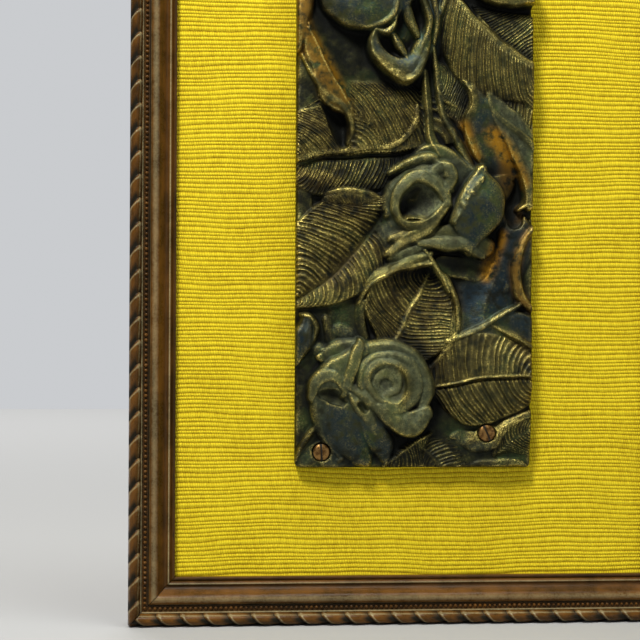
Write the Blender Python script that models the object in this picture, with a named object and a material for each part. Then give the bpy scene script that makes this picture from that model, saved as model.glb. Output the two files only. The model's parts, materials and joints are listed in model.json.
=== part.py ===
"""Framed relief plaque: a cast bronze panel of roses and veined leaves screwed to a cloth-covered board.

Metres, X to the right, Z up, the front faces -Y. The origin is on the back of the top rail, on the wall.
"""
from dataclasses import dataclass
from itertools import product
from math import atan2, ceil, cos, pi, radians, sin

import bmesh
import bpy
import numpy as np
from mathutils import Matrix, Vector
from mathutils.geometry import delaunay_2d_cdt

for old in list(bpy.data.objects):
    bpy.data.objects.remove(old, do_unlink=True)

# the cast relief
RELIEF_WIDTH = 0.114
RELIEF_HEIGHT = 0.280
RELIEF_DEPTH = 0.019
RELIEF_CORNER = 0.0024
RELIEF_POINTS = 2050
RELIEF_EDGE_STEP = 0.0052

# cloth left bare around the relief
MARGIN_SIDE = 0.057
MARGIN_END = 0.0525

# frame rails
RAIL_WIDTH = 0.022
RAIL_DEPTH = 0.022
REBATE_WIDTH = 0.006
REBATE_DEPTH = 0.0105
SIGHT_DEPTH = 0.0136
CHANNEL_DEPTH = 0.0172
ROPE_WIDTH = 0.0058
ROPE_PITCH = 0.0112
ROPE_LEAN = 0.85
ROPE_RELIEF = 0.0013
ROPE_FOOT = 0.0020
MITRE_GAP = 0.0003

# board and the cloth wrapped round it
BOARD_THICKNESS = 0.0075
CLOTH_THICKNESS = 0.0008
CLOTH_TURN = 0.015
CLOTH_EDGE_CLEARANCE = 0.0005
CLEARANCE = 0.0003

# slotted screws
SCREW_HEAD_RADIUS = 0.0039
SCREW_HEAD_RIM = 0.0013
SCREW_HEAD_DOME = 0.0009
SCREW_SHANK_RADIUS = 0.0020
SCREW_SLOT_WIDTH = 0.0009
SCREW_SLOT_DEPTH = 0.0011
SCREW_GRIP = 0.0052
SCREW_HEAD_CLEARANCE = 0.0004
SCREW_SHANK_CLEARANCE = 0.0003
SCREW_HOLE_SPARE = 0.0004

# hangers on the back
HANGER_LENGTH = 0.042
HANGER_WIDTH = 0.009
HANGER_THICKNESS = 0.0009
HANGER_APART = 0.160
HANGER_RECESS = 0.0024
HANGER_RECESS_SPARE = 0.0010
HANGER_TEETH = 8
HANGER_TOOTH_PITCH = 0.0034
HANGER_TOOTH_DEPTH = 0.0014
NAIL_HEAD_RADIUS = 0.0016
NAIL_HEAD_THICKNESS = 0.0006
NAIL_SHANK_RADIUS = 0.0007
NAIL_LENGTH = 0.0065
NAIL_INSET = 0.0045

# how far a cutter stands clear of what it cuts
CUTTER_CLEAR = 0.004

# sizes that follow from the ones above
SIGHT_WIDTH = RELIEF_WIDTH + 2 * MARGIN_SIDE
SIGHT_HEIGHT = RELIEF_HEIGHT + 2 * MARGIN_END
FRAME_WIDTH = SIGHT_WIDTH + 2 * RAIL_WIDTH
FRAME_HEIGHT = SIGHT_HEIGHT + 2 * RAIL_WIDTH
RAIL_BACK = RAIL_WIDTH - REBATE_WIDTH
FRAME_TOP = RAIL_BACK / 2
CENTRE_Z = FRAME_TOP - FRAME_HEIGHT / 2
CLOTH_FRONT = -REBATE_DEPTH + CLEARANCE
BOARD_FRONT = CLOTH_FRONT + CLOTH_THICKNESS + CLEARANCE
BOARD_BACK = BOARD_FRONT + BOARD_THICKNESS
CLOTH_BACK = BOARD_BACK + CLEARANCE + CLOTH_THICKNESS
CLOTH_WIDTH = SIGHT_WIDTH + 2 * (REBATE_WIDTH - CLOTH_EDGE_CLEARANCE)
CLOTH_HEIGHT = SIGHT_HEIGHT + 2 * (REBATE_WIDTH - CLOTH_EDGE_CLEARANCE)
BOARD_WIDTH = CLOTH_WIDTH - 2 * (CLOTH_THICKNESS + CLEARANCE)
BOARD_HEIGHT = CLOTH_HEIGHT - 2 * (CLOTH_THICKNESS + CLEARANCE)
RELIEF_BACK = CLOTH_FRONT - CLEARANCE

# The moulding between the sight edge and the rope, as shares of the way out and of the rise to the channel.
MOULDING = (
    (0.000, -0.17), (0.031, 0.00), (0.068, 0.00), (0.102, -0.22), (0.130, 0.03), (0.179, 0.22), (0.235, 0.00),
    (0.315, 0.10), (0.407, 0.60), (0.494, 1.16), (0.574, 1.39), (0.648, 1.39), (0.722, 1.25), (0.765, 1.00),
    (1.000, 1.00),
)

# The rope's back between the channel and the outer edge, as shares of its width and of its rise.
ROPE_SECTION = ((0.20, 0.66), (0.52, 1.00), (0.86, 0.60))

# The relief is laid out on a sheet 237 units wide and 582 high, y running down, 19 units of height.
SHEET_WIDTH = 237
SHEET_HEIGHT = 582
SHEET_DEPTH = 19
SHEET_LEFT = 294
SHEET_TOP = -114
SHEET_GROUND = 6.0
SHEET_STEP = 1.0
SHEET_ROUNDING_DEPTH = 0.9
SHEET_ROUNDING_WIDTH = 1.6
SHEET_MELT_SHARE = 0.35
SHEET_FILL_SPREAD = 3.2
SHEET_FILL_DEPTH = 1.1
SHEET_SOFTENING = 0.8

# how the sheet is turned into triangles
FIT_SPACING = 24
FIT_BATCH = 60
FIT_SLIVER = 3
FIT_NEAR_EDGE = 0.08
FIT_TOLERANCE = 0.05


@dataclass(frozen=True)
class Form:
    """One leaf, petal or stem: a spine of (x, y, height) stations with a half-width on each side.

    The pairs drop, crown and power shape the left and the right side: how far the surface falls from
    spine to margin, how much it swells between them and how square the fall is. A cut lowers what is there.
    Melt is how softly the form joins what it lies on.
    """
    name: str
    spine: tuple
    left: object
    right: object
    drop: tuple = (2, 2)
    crown: tuple = (0, 0)
    power: tuple = (1.5, 1.5)
    cut: bool = False
    melt: float = 1.5


@dataclass(frozen=True)
class Screw:
    """A fixing screw: where it stands on the sheet, how high its seat is and how its slot is turned."""
    name: str
    x: float
    y: float
    seat: float
    slot_degrees: float


SCREWS = (
    Screw("screw_lower_left", 320, 452.5, 5.8, 3),
    Screw("screw_lower_right", 486, 433.5, 7.0, 24),
    Screw("screw_upper_left", 316, -96, 5.8, -38),
    Screw("screw_upper_right", 506, -95, 5.8, 62),
)

FORMS = (
    # the ground between the leaves
    Form("ground_top", ((326.5, -57.1, 6.8), (396.5, -38.4, 7.5), (519.4, -61.4, 6.8)), (50, 50, 50),
         (50, 70, 50), drop=(1, 1)),
    Form("ground_hollow", ((348.9, 41.9, 6.2), (369, 71.6, 6.8), (389, 97.4, 7.4)), (20, 26, 20),
         (24, 24, 20), drop=(1.2, 1.2)),
    Form("ground_middle", ((383.8, 215, 6.6), (381.8, 245, 7.2), (397.8, 262.9, 7.6)), (18, 18, 16),
         (10, 12, 10), drop=(1, 0.8)),
    Form("ground_left_low",
         ((310.1, 306.2, 6.6), (320.2, 345.9, 7.4), (310.5, 392.6, 6.8), (300.8, 440.4, 6.4)),
         (20, 22, 20, 14), (24, 24, 16, 10), drop=(1.2, 1), crown=(0.3, 0.3)),
    Form("ground_stripes", ((333.9, 297.1, 7.4), (343.8, 319, 8.2), (347.9, 344.8, 8.6)), (20, 18, 14),
         (12, 14, 12), drop=(1, 1), crown=(0.4, 0.4)),
    Form("ground_stems", ((425.1, 70.9, 7.6), (443.4, 110.6, 7.6), (461.9, 150.3, 7.4)), (20, 16, 10),
         (12, 16, 10), drop=(1, 1.2)),
    # the bottom edge
    Form("bottom_leaf_dark", ((404, 436.5, 6.4), (427.1, 452.5, 6.8), (449.6, 478.7, 6.4)), (2, 30, 44),
         (2, 22, 30), drop=(1.5, 1.5), melt=0.5),
    Form("bottom_leaf_green", ((429.5, 433.2, 8.6), (406.6, 448.3, 8), (382.9, 468.3, 7)), (3, 24, 12),
         (2, 6, 3), drop=(2.5, 2), melt=0.5),
    Form("corner_leaf", ((497.9, 452.6, 7), (511.7, 440.4, 8.4), (533, 428.4, 8.6)), (6, 16, 14),
         (6, 24, 30), drop=(-1, 3), melt=0.5),
    Form("corner_lens", ((470, 466.8, 5.8), (499.8, 463.5, 7.6), (534, 466.8, 7)), (3, 6, 2), (3, 6, 8),
         drop=(2, 2), crown=(0.8, 0.8)),
    Form("boss_right", ((459.3, 441.5, 7), (475, 446.3, 8.4), (491.1, 442.3, 8.6), (502.5, 431.4, 8.4)),
         (14, 20, 20, 12), (6, 9, 9, 8), drop=(3.2, 3.4), crown=(0.8, 1), power=(1.5, 1.7), melt=2.6),
    Form("boss_ridge", ((493.3, 446.4, 8.4), (503.1, 432.2, 9.6), (515.5, 421.2, 9.8), (531, 413.2, 9.4)),
         (6, 8, 7, 6), (3.5, 4, 4, 4), drop=(2.5, 2), crown=(0.6, 0.6)),
    Form("leaf_low_right", ((429, 388.3, 9.4), (454.4, 383.6, 11.6), (487.2, 377.5, 12.5), (533, 376, 11)),
         (10, 44, 46, 38, 26), (10, 42, 47, 41, 25), drop=((1.5, 1, 2), (3.5, 4, 3)), crown=(0.6, 2),
         melt=0.5),
    # the lower left edge
    Form("left_stem", ((286.9, 460.1, 7), (301.4, 443.4, 9.2), (314.2, 426.1, 9.4)), (4, 4.4, 4),
         (4, 4.4, 4), drop=(3, 3), power=(2, 2)),
    Form("boss_left", ((302.9, 458.3, 6.4), (320.7, 455.2, 7.2), (340.9, 462.3, 6.4)), (11, 16, 11),
         (10, 15, 9), drop=(1.6, 1.6), crown=(0.5, 0.5), power=(1.6, 1.6), melt=2.4),
    Form("left_petal", ((294.3, 364.8, 8), (299.5, 338.9, 12), (305.5, 319.2, 11)), (6, 10, 5), (3, 12, 6),
         drop=(2, 2.5), crown=(0.8, 1.8)),
    Form("left_petal_rim",
         ((299.6, 317.2, 11), (308.3, 318.2, 12.4), (313.4, 330, 12), (308.8, 344.9, 10),
          (299.1, 357.8, 8.6)), (3, 3.6, 3.6, 3, 2), (1.8, 2.2, 2.2, 2), drop=(1.8, 2.4), power=(1.6, 2)),
    Form("knob_a", ((315.9, 349.8, 9.2), (324.8, 354.7, 9.8)), 9, 9, drop=(2.8, 2.8), power=(1.8, 1.8),
         melt=3),
    Form("knob_b", ((337.7, 330.9, 9), (347.6, 336.8, 9.6)), 10, 9, drop=(2.8, 2.8), power=(1.7, 1.7),
         melt=3),
    Form("knob_c", ((324.9, 321, 8.4), (328.9, 338.9, 8.8)), (7, 8), (6, 8), drop=(1.8, 1.8),
         power=(1.6, 1.6), melt=3),
    # the cupped leaf in the middle
    Form("centre_outside", ((361.2, 303, 10.6), (358.3, 320.9, 10.4), (363.5, 338.7, 10.2)), (4, 5, 4),
         (9, 9, 8), drop=(1, 3), power=(1.5, 1.4), melt=2.4),
    Form("leaf_centre",
         ((386.4, 353.5, 10.6), (398.6, 331.6, 9.4), (408.9, 309.7, 8.2), (422.4, 284.6, 6.4),
          (430.4, 266.5, 6.6)), (10, 38, 47, 37, 8), (30, 45, 46, 34, 6),
         drop=((-0.5, -1.6, -2.6, -3.5, -1), (0.8, -1, -2.4, -4, -1)), crown=(-0.7, -0.5), power=(1.4, 1.4),
         melt=0.5),
    Form("centre_top",
         ((355.5, 301, 9.2), (368.9, 285.2, 11.2), (388.5, 271.2, 12.4), (408.3, 264.2, 12.8),
          (428.4, 262, 12.6)), (4, 9, 9, 7, 4), (1, 1, 1, 1, 1), drop=(3.4, 1), crown=(0.3, 0),
         power=(1.3, 1)),
    Form("centre_rim_top",
         ((357.2, 305, 10.8), (363.8, 290.2, 12), (377.5, 279.7, 12.8), (392.2, 272.2, 13.4),
          (409.1, 267.2, 13.7), (430.2, 265, 13.4)), (3, 4, 4, 3), (1.5, 1.8, 1.8, 1.6), drop=(1, 2.6),
         power=(1.6, 2)),
    Form("centre_rim_right",
         ((426.4, 259.1, 12.6), (437.3, 269.9, 13), (445.9, 284.7, 12.9), (452.7, 301.6, 12.6),
          (454.9, 318.4, 12.2), (452.2, 335.4, 11.6), (441.5, 353.3, 10.8), (424.9, 374.3, 9.6)),
         (3, 4.4, 4.4, 4, 3.4), (1.6, 2, 2.2, 2), drop=(1.4, 2), power=(1.4, 2), melt=2),
    # the broad leaf at the middle left
    Form("leaf_mid_left",
         ((386.7, 204, 6.6), (371, 232, 6), (349.8, 257.2, 6.8), (326.7, 280.3, 8.4), (294.1, 303.3, 7.5)),
         (5, 26, 32, 26, 8), (12, 54, 62, 54, 18), drop=((-1.5, -1.8, -1.6, -0.5), (-1.5, -1.8, -1.4, 0)),
         crown=(1.6, 2.8), power=(1, 1), melt=0.5),
    Form("mid_left_lobe", ((389.5, 207.1, 7.6), (366.7, 198.8, 10.4), (345.7, 196.2, 11), (324, 200.2, 10)),
         (12, 14, 11, 6), (4, 7, 7, 4), drop=(2.6, 1.8), crown=(0.2, 0.2), power=(1.2, 1.6), melt=2.4),
    Form("mid_left_rim",
         ((387.2, 206.3, 8.6), (373.7, 197.3, 10.4), (357.6, 191.6, 11), (341.7, 190.8, 11),
          (324.9, 194.8, 10.2)), (3, 4, 4, 3), (1.8, 2.2, 2.2, 2), drop=(0.8, 1.8), power=(1.3, 2), melt=2.4),
    Form("edge_stripes", ((297.4, 186.3, 8), (298.5, 207.2, 8.2), (295.7, 233.9, 8)), (10, 12, 6), (8, 8, 6),
         drop=(1, 1)),
    Form("edge_rim", ((287.6, 245.1, 9.4), (297.4, 233.2, 10), (311.2, 223.1, 10)), (2.4, 3, 2), (5, 7, 5),
         drop=(1.6, 1), power=(2, 1.4), melt=2.4),
    # the broad leaf at the upper left
    Form("leaf_upper_lower_half",
         ((407.4, 151, 7.4), (385.2, 159.3, 7.7), (347.2, 161.9, 7.9), (319.2, 163.3, 8.2),
          (289.4, 166.6, 8)), (12, 30, 29, 35, 24), (5, 5, 5, 5, 5), drop=(0.3, 2), crown=(1.9, 0),
         power=(1.5, 1), melt=0.5),
    Form("leaf_upper_left_b", ((348.6, 154.5, 10.4), (318.7, 157.9, 10.6), (289.1, 164.2, 10.4)), (2, 2, 2),
         (44, 48, 48), drop=(1.5, (1.4, 1, 0.8)), crown=(0, 1.3), power=(2, 1.3), melt=0.5),
    Form("leaf_upper_left",
         ((425.2, 148, 8.4), (408.7, 150.5, 9.8), (392.6, 152.3, 10), (368.6, 154.1, 10), (340.7, 156, 10)),
         2, (64, 68, 70, 72, 74), drop=(1.5, (2.6, 2.8, 3, 3, 3)), crown=(0, (1.4, 1.5, 1.3)),
         power=(2, 1.8), melt=0.5),
    Form("upper_left_rim",
         ((415.6, 107.5, 9.4), (414, 123.7, 10.2), (405.3, 139.4, 10.8), (388.4, 149, 10.8),
          (348.6, 154, 10.5), (318.7, 156.9, 10.8), (299, 162.5, 10.2)), (1.4, 1.6, 1.6),
         (3.4, 6, 6, 4.4, 3.6), drop=(2.2, 0.6), power=(2, 1.3)),
    Form("edge_stripes_top", ((305.6, 55.7, 9), (305.7, 83.5, 9.2), (302.9, 111.2, 9)), (8, 11, 14),
         (10, 14, 14), drop=(1.5, 1), crown=(0.4, 0.4)),
    Form("edge_step", ((288.9, 116.5, 9.6), (301.7, 112.5, 10.2), (316.7, 109.1, 9.5)), (2, 2, 2), (3, 4, 3),
         drop=(1.6, 1), power=(2, 2)),
    # the folded smooth leaf and the hollow beneath it
    Form("hollow_cut", ((323.3, 101.9, 5.6), (337.5, 121.5, 5), (340.5, 143.6, 6)), (9, 10, 7), (7, 14, 8),
         drop=(-1.8, -3.2), power=(1.5, 1.5), cut=True),
    Form("fold_right_wall",
         ((305.1, 27, 11.5), (316, 52.5, 11.8), (328, 76.1, 12.2), (340.1, 96.4, 11.4),
          (348.3, 110.9, 10.6)), (24, 44, 48, 34, 14), (1, 1, 1, 1), drop=((5, 6, 5.4, 3.6), 1),
         crown=(-1.6, 0), power=(0.8, 1), melt=2.4),
    Form("fold_upper_left",
         ((305, 31.2, 12.2), (315.9, 54.8, 12.6), (327.8, 77.5, 13.2), (339.9, 96.9, 12.8),
          (348, 111.3, 12), (350.2, 127, 11.6), (346.5, 142.6, 10.4)), 1.5, (6, 13, 15, 22, 17, 6, 3),
         drop=(2, (0.8, 0.2, -0.2, 0.4)), crown=(0, -1.2), power=(2, 1.4)),
    Form("fold_rim",
         ((298.4, 58.4, 10.8), (309.1, 80.5, 12.4), (316, 93.5, 13.4), (325.9, 102.3, 13.6),
          (337.8, 109.4, 13.4), (345.8, 121.6, 13.2), (348.1, 134.2, 12.4), (344.5, 144.7, 10.6)),
         (2.4, 4, 5, 5, 3), (1.4, 2.4, 2.8, 2), drop=(0.8, 2.8), power=(1.4, 2)),
    Form("corner_left_top", ((307.9, -18.8, 11), (302, 13.2, 11.5), (294.3, 50.9, 11.5)), (10, 8, 6),
         (14, 14, 8), drop=(4, 1.5), crown=(1, 0.6)),
    # the leaves at the upper right
    Form("leaf_right_striped",
         ((479, 96.5, 9.5), (497.5, 116.4, 10.2), (512.7, 130.2, 10.2), (538, 149.8, 10)), (8, 30, 40, 40),
         (2, 2, 2, 2), drop=((1.5, 1.5), 2), crown=(0.6, 0), melt=0.5),
    Form("leaf_top_right_back", ((470.9, 10.4, 8.5), (486.9, 29.3, 9.2), (505, 46.2, 9.6), (540, 73.4, 9)),
         (6, 30, 46, 46), (2, 2, 2, 2), drop=((1, 0.5, 0), 2), crown=(1.4, 0), melt=0.5),
    Form("top_right_midrib", ((476.1, 18.2, 10.8), (486, 30.3, 11.6), (503.4, 45.4, 11.4), (521.3, 57, 10)),
         (2, 2.6, 2.4), (2, 3, 3), drop=(1.8, 2.4), power=(2, 2)),
    Form("leaf_upper_right",
         ((445.5, -7.7, 11.5), (463.1, 14.6, 13.4), (481.1, 32.2, 13.8), (501.7, 48.7, 13.6),
          (540, 74.5, 12.4)), (4, 5, 5, 5, 5), (14, 38, 53, 52, 34), drop=(2.5, (3.5, 4.4, 4.2, 3, 2)),
         crown=(0, 1.6), power=(2, 1.3), melt=0.5),
    Form("petal_top_right", ((470.7, -13.1, 14), (490.4, -6.9, 15.5), (518.3, -9.4, 15.5), (545, -20.2, 15)),
         (8, 12, 14, 14), (4, 14, 15, 10), drop=(2, 1.6), crown=(0.6, 1.4)),
    # the smooth blades at the right
    Form("right_low_strip", ((506.6, 208.1, 9.5), (508.6, 240.3, 10.6), (503.8, 278.2, 9)), (13, 24, 16),
         (10, 13, 10), drop=((1, 1.5), (3, 3.5)), crown=(0.8, 0.8)),
    Form("right_edge_stripes", ((531, 227.8, 8.5), (528.9, 261.9, 8.5), (531, 312, 8)), (8, 9, 9), (8, 8, 8),
         drop=(1, 1)),
    Form("drape", ((500.7, 258.1, 8.6), (492.3, 284.2, 8.8), (484, 306.3, 9.8), (475.3, 328.3, 11.6)),
         (8, 20, 30, 26), (34, 40, 36, 28), drop=((0.8, 1.2, 0.6), (3.5, 3.8, 3, 0.6)), crown=(0, -0.9),
         power=(1.2, 1.1), melt=2.6),
    Form("under_drape", ((485.8, 324.3, 10.4), (506.6, 328.2, 11), (536, 348.1, 10.5)), (12, 22, 32),
         (4, 8, 8), drop=(1.5, 1.2), crown=(0.8, 0.5)),
    Form("drape_rim",
         ((445.2, 342.3, 11.6), (462.9, 335.8, 12.6), (478.8, 328.8, 13), (494.1, 318.2, 12.8),
          (506.2, 311.7, 12.2), (519.3, 305.6, 11.2)), (4, 5, 4, 3), (1.8, 2.2, 2.2, 2), drop=(1.2, 2.2),
         power=(1.5, 2), melt=2.2),
    Form("right_lobe",
         ((536, 222.2, 12), (523.4, 242.3, 12.6), (516.9, 262.3, 12.8), (516.9, 281.3, 12.6),
          (523.5, 297.1, 11.6), (538, 312, 11)), (1.8, 2.4, 2.6, 2.6, 2), (2.4, 6, 8, 8, 5), drop=(1.8, 2),
         crown=(0, 0.3), power=(2, 1.5)),
    Form("leaf_low_right_rim",
         ((487.2, 325.2, 12), (501.8, 334.1, 12.8), (518.1, 340.6, 12.8), (534, 353, 12)), (3, 4, 4),
         (1.8, 2.2, 2), drop=(1.2, 2.4), power=(1.6, 2)),
    Form("blade_cavity", ((489.8, 160.1, 8.6), (505.4, 177.5, 6.2), (511.9, 199.4, 5), (513.7, 221.7, 6.4)),
         (10, 14, 14, 8), (10, 14, 14, 8), drop=(-1.2, -1.2), cut=True),
    Form("blade_body",
         ((470.1, 89.4, 11.6), (476.1, 107.3, 12), (483.3, 129, 11.8), (494, 150.6, 11), (505.7, 172, 8.6)),
         (5, 12, 14, 14, 10), (3, 10, 16, 18, 16), drop=((1, 0.8, 0.6, 0.4), (0.6, 0.6, 1)),
         crown=(0.2, 0.2), power=(1.6, 1.5), melt=2.2),
    Form("blade_right",
         ((485.2, 98.1, 11.8), (495.8, 113.9, 11.8), (510.2, 134.7, 11.8), (522.3, 162.4, 11.6),
          (528.8, 200.2, 11.4)), (6, 16, 20, 16, 8), (3, 5, 6, 6, 4), drop=((0.6, 0.8, 1), (0.5, 0.5)),
         crown=(0.2, 0.3), power=(1.4, 1.6), melt=2.2),
    Form("right_ribbon", ((482.3, 102.1, 11.6), (496.5, 117.7, 12.8), (512.1, 131, 13.2), (538, 150.5, 13)),
         (3, 4, 4.4), (3.2, 4.4, 4.8), drop=(2, 2.4), power=(2, 2)),
    Form("blade_edge_left",
         ((463.1, 85.5, 11.6), (467.7, 93.7, 12.8), (467.7, 103.7, 12.8), (462.9, 115.6, 12.4),
          (461.2, 127.3, 11.6), (464.4, 141.2, 11.4), (470.7, 153.9, 11), (478.2, 165.6, 10)), (6, 8, 8, 6),
         (1.6, 2.2, 2.2, 2), drop=(1, 2.8), power=(1.4, 2)),
    Form("blade_rim",
         ((485.1, 102.2, 12.2), (493.3, 125.1, 12.6), (505.5, 149, 13), (515.6, 170.7, 13),
          (523.3, 190.5, 12.6), (525.1, 204.3, 11.8)), (5, 8, 9, 7), (1.4, 2, 2.4, 2), drop=(0.9, 2.8),
         power=(1.5, 2)),
    Form("blade_foot", ((517.1, 210.3, 11), (525.6, 205.4, 12.2), (540, 202.2, 12.2)), (2.4, 3, 3),
         (2, 2.6, 2.6), drop=(1.4, 2), power=(1.6, 2)),
    # the stems and the small leaf between them
    Form("small_leaf", ((435.5, 75.4, 9.8), (442.7, 96.2, 9.6), (453.1, 116.8, 9), (462.4, 134.5, 8.6)),
         (12, 26, 22, 12), (4, 6, 7, 5), drop=(1.6, 1.4), melt=2),
    Form("stem_right",
         ((428.7, 36.3, 11.4), (433, 74, 11.2), (436.2, 101.7, 11), (441.4, 119.5, 10.8),
          (451.6, 139.2, 10.6), (462.6, 157, 11), (471.6, 170.9, 11.4)), (3, 4.6, 5.4, 5.4),
         (2.6, 3, 3.4, 3.6), drop=(2.8, 2.4), power=(1.4, 2), melt=2.4),
    Form("stem_branch", ((435.1, 92.7, 11), (442.2, 102.6, 11), (452.8, 108, 9.6)), (3, 3, 2.4),
         (2.4, 2.4, 2), drop=(2, 2), power=(2, 2)),
    Form("stem_left",
         ((421.5, 74.1, 11), (422.9, 98.1, 11.6), (424, 120, 11.8), (425.9, 137.9, 12.2),
          (433.9, 157.8, 12.8)), (5, 6, 7, 9), (3, 3.2, 3.4, 4.4), drop=(2.8, 2.4), power=(1.4, 1.8),
         melt=2.4),
    Form("sepal_hip",
         ((408.6, 159.6, 10.4), (426, 148.8, 12.2), (446, 152.6, 12.5), (462.2, 165.3, 12.3),
          (476.6, 174.9, 11.6)), (2.8, 4, 4, 3), (9, 17, 18, 12), drop=(2.6, 1.8), crown=(0.2, 0.3),
         power=(1.6, 1.3), melt=3),
    # the middle rose and the bud beside it
    Form("rose2_bed", ((396.9, 237.3, 10.5), (420.2, 206.5, 12.4), (448, 183.4, 12.8), (474.8, 178.8, 11)),
         (24, 36, 30, 14), (22, 26, 34, 40), drop=(4, 4.4), crown=(1, 1)),
    Form("rose2_wrap",
         ((382.6, 209.7, 11), (386.1, 194, 12.6), (399.7, 179.3, 13.8), (415.4, 171.3, 14.4),
          (433.3, 171.1, 14.6), (445.5, 184.7, 14.2)), (5, 7, 7, 6), (10, 12, 12, 10), drop=(3.6, 0.4),
         crown=(0.2, 0), power=(1.3, 1.5), melt=3),
    Form("rose2_floor", ((399.2, 210.2, 8.8), (409.2, 205.1, 9), (420.8, 201.2, 10.4), (436, 197.5, 12.8)),
         (12, 19, 21, 12), (12, 18, 20, 12), drop=((-6.6, -6.4, -4.8, -2.4), (-6.6, -6.4, -4.8, -2.4)),
         power=(2.2, 2.2), cut=True),
    Form("rose2_dark", ((408.9, 197.3, 9.8), (414.6, 191.4, 10.8)), (5, 3), (6, 4), drop=(-1, -1),
         power=(1.5, 1.4), cut=True),
    Form("rose2_rim",
         ((397.5, 220, 15), (393.4, 209.2, 15.4), (396.1, 197.5, 16.2), (402.8, 188.7, 16.8),
          (412.7, 182.2, 17), (424.7, 184.4, 16.8), (433.9, 192.1, 16.2), (440.3, 201.8, 15.2)),
         (5, 8, 10, 10, 9, 6), (1.8, 2.6, 2.8, 2.4), drop=(1.6, 2.6), crown=(0.1, 0), power=(1.4, 2)),
    Form("rose2_rim_low",
         ((392.5, 207.2, 15), (395.3, 218.6, 15.8), (405.2, 224.5, 16.2), (419.2, 222.4, 16),
          (432.3, 213.8, 15.4), (442.4, 201.7, 14.8)), (1.8, 2.4, 2.4, 2), (4, 6, 6, 4), drop=(2.8, 2.6),
         power=(2, 1.6)),
    Form("rose2_curl",
         ((429.1, 170.3, 15.4), (436.6, 165.1, 16.8), (446.4, 168.5, 17.2), (450.7, 179.2, 16.6),
          (447.1, 189.9, 15.4)), (3, 3.4, 3.4, 3), (8, 13, 13, 9), drop=(2.8, 1.6), crown=(0, 0.8),
         power=(2, 1.6), melt=2.2),
    Form("rose2_top_roll",
         ((386, 174.3, 12.8), (397.4, 167.1, 14.6), (413, 162.2, 15.6), (426.8, 159.1, 16),
          (433, 164.3, 15.4)), (3.2, 4, 4, 3), (3.4, 5, 6, 5), drop=(2.2, 2.6), power=(1.8, 2)),
    Form("rose2_twist", ((419.2, 173.4, 15.2), (430.9, 180.3, 16), (440, 192, 15.8), (445.5, 205.6, 14.6)),
         (5, 6, 6, 4), (2, 2.6, 2.6, 2), drop=(1.6, 2), power=(1.5, 2)),
    Form("bud_body", ((477.2, 171.6, 15), (476.4, 199.8, 17.4), (472.8, 223.4, 16.8), (470, 242.9, 13.8)),
         (8, 22, 27, 22, 8), (6, 18, 24, 26, 14), drop=((3, 4, 4), (1.2, 1.2, 2.5)), crown=(1.3, 0.8),
         power=(2, 1.8), melt=2.2),
    Form("bud_roll",
         ((478.5, 179.9, 17), (470.1, 191.1, 18.2), (462.1, 201.1, 18.4), (455.4, 211.9, 17.8),
          (449.9, 221.7, 16.6)), (3.4, 4.4, 5, 4.6, 3.6), (4, 6, 6.4, 5.4, 4), drop=(1.6, 2.6),
         power=(1.7, 2)),
    Form("ribbon_a",
         ((445.5, 205.6, 14.6), (436.5, 219.6, 14.8), (425.6, 232.5, 14.6), (407.9, 242.5, 14),
          (386.3, 255.4, 12.8)), (2.4, 3, 3), (6, 9, 9, 6), drop=(2.8, 1.2), power=(2, 1.4), melt=2.2),
    Form("ribbon_b", ((431.8, 217.5, 13.8), (417.9, 229.5, 13.6), (402.2, 236.5, 13), (390.5, 241.5, 12)),
         (2.6, 3, 3), (5, 7, 6), drop=(1.6, 1.2), power=(1.6, 1.5), melt=2.2),
    Form("petal_left_low", ((388.7, 257.3, 11.6), (404.4, 253.3, 12.6), (424.4, 244.2, 12.4)), (3, 6, 4),
         (6, 10, 6), drop=(1.6, 2.2), crown=(0.4, 0.3), power=(1.6, 1.3), melt=2.6),
    Form("sepal_low", ((388.6, 269.2, 12.2), (408.3, 262.2, 13), (428.1, 256.1, 13.4)), (4, 6, 4), (3, 4, 3),
         drop=(1.6, 1.4), power=(1.6, 1.6), melt=2.2),
    # the petals under the middle rose
    Form("lower_bed", ((426.3, 237.2, 12.4), (451.2, 237, 13), (483, 246.6, 11.6)), (8, 14, 10),
         (14, 14, 10), drop=(1.6, 1), crown=(0.4, 0.4)),
    Form("lower_lip",
         ((416.1, 244.3, 13.4), (428.7, 245.3, 14.6), (445.6, 247.2, 14.8), (459.8, 247, 14.2),
          (477.7, 257.6, 12.2)), (6, 8, 10, 9, 6), (3, 5, 6, 4, 2.6), drop=(1.2, 1.6), crown=(0.1, 0.4),
         power=(1.2, 1.7), melt=2.4),
    Form("cave", ((438.8, 262.6, 8.4), (454.6, 265.3, 6.6), (473.1, 266.2, 6)), (6, 9, 8), (9, 14, 16),
         drop=(-1, -1.5), cut=True),
    Form("sepal_edge",
         ((422, 251.2, 13.6), (430.1, 262.1, 13.6), (439.2, 276.9, 13.6), (446.4, 292.7, 13.2)),
         (2, 3, 3, 2), (2.4, 3, 3, 2.4), drop=(2.4, 1.8), power=(2, 2)),
    # the upper rose
    Form("rose3_bed", ((372.6, 44.1, 8), (399.7, 36.9, 11.4), (427.3, 10.8, 12.2)), (20, 36, 30),
         (20, 42, 30), drop=(4, 5), crown=(1, 1)),
    Form("rose3_left_petal", ((313.7, -24.5, 12), (340.7, -3.3, 16), (366.1, 4.6, 17.4), (395.9, -6.1, 17)),
         (18, 26, 30, 24), (10, 26, 29, 18), drop=(2, (5, 4, 2)), crown=(1, 1.8), power=(1.5, 2.2)),
    Form("rose3_left_rim",
         ((362.7, 32.3, 15.6), (377.2, 27.7, 17.2), (387.3, 20, 18), (392, 8.4, 18.6), (392.6, -7.6, 18)),
         (3, 4, 4, 3), (1.8, 2.4, 2.4, 2), drop=(1, 2.6), power=(1.5, 2)),
    Form("rose3_cup_floor",
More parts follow.
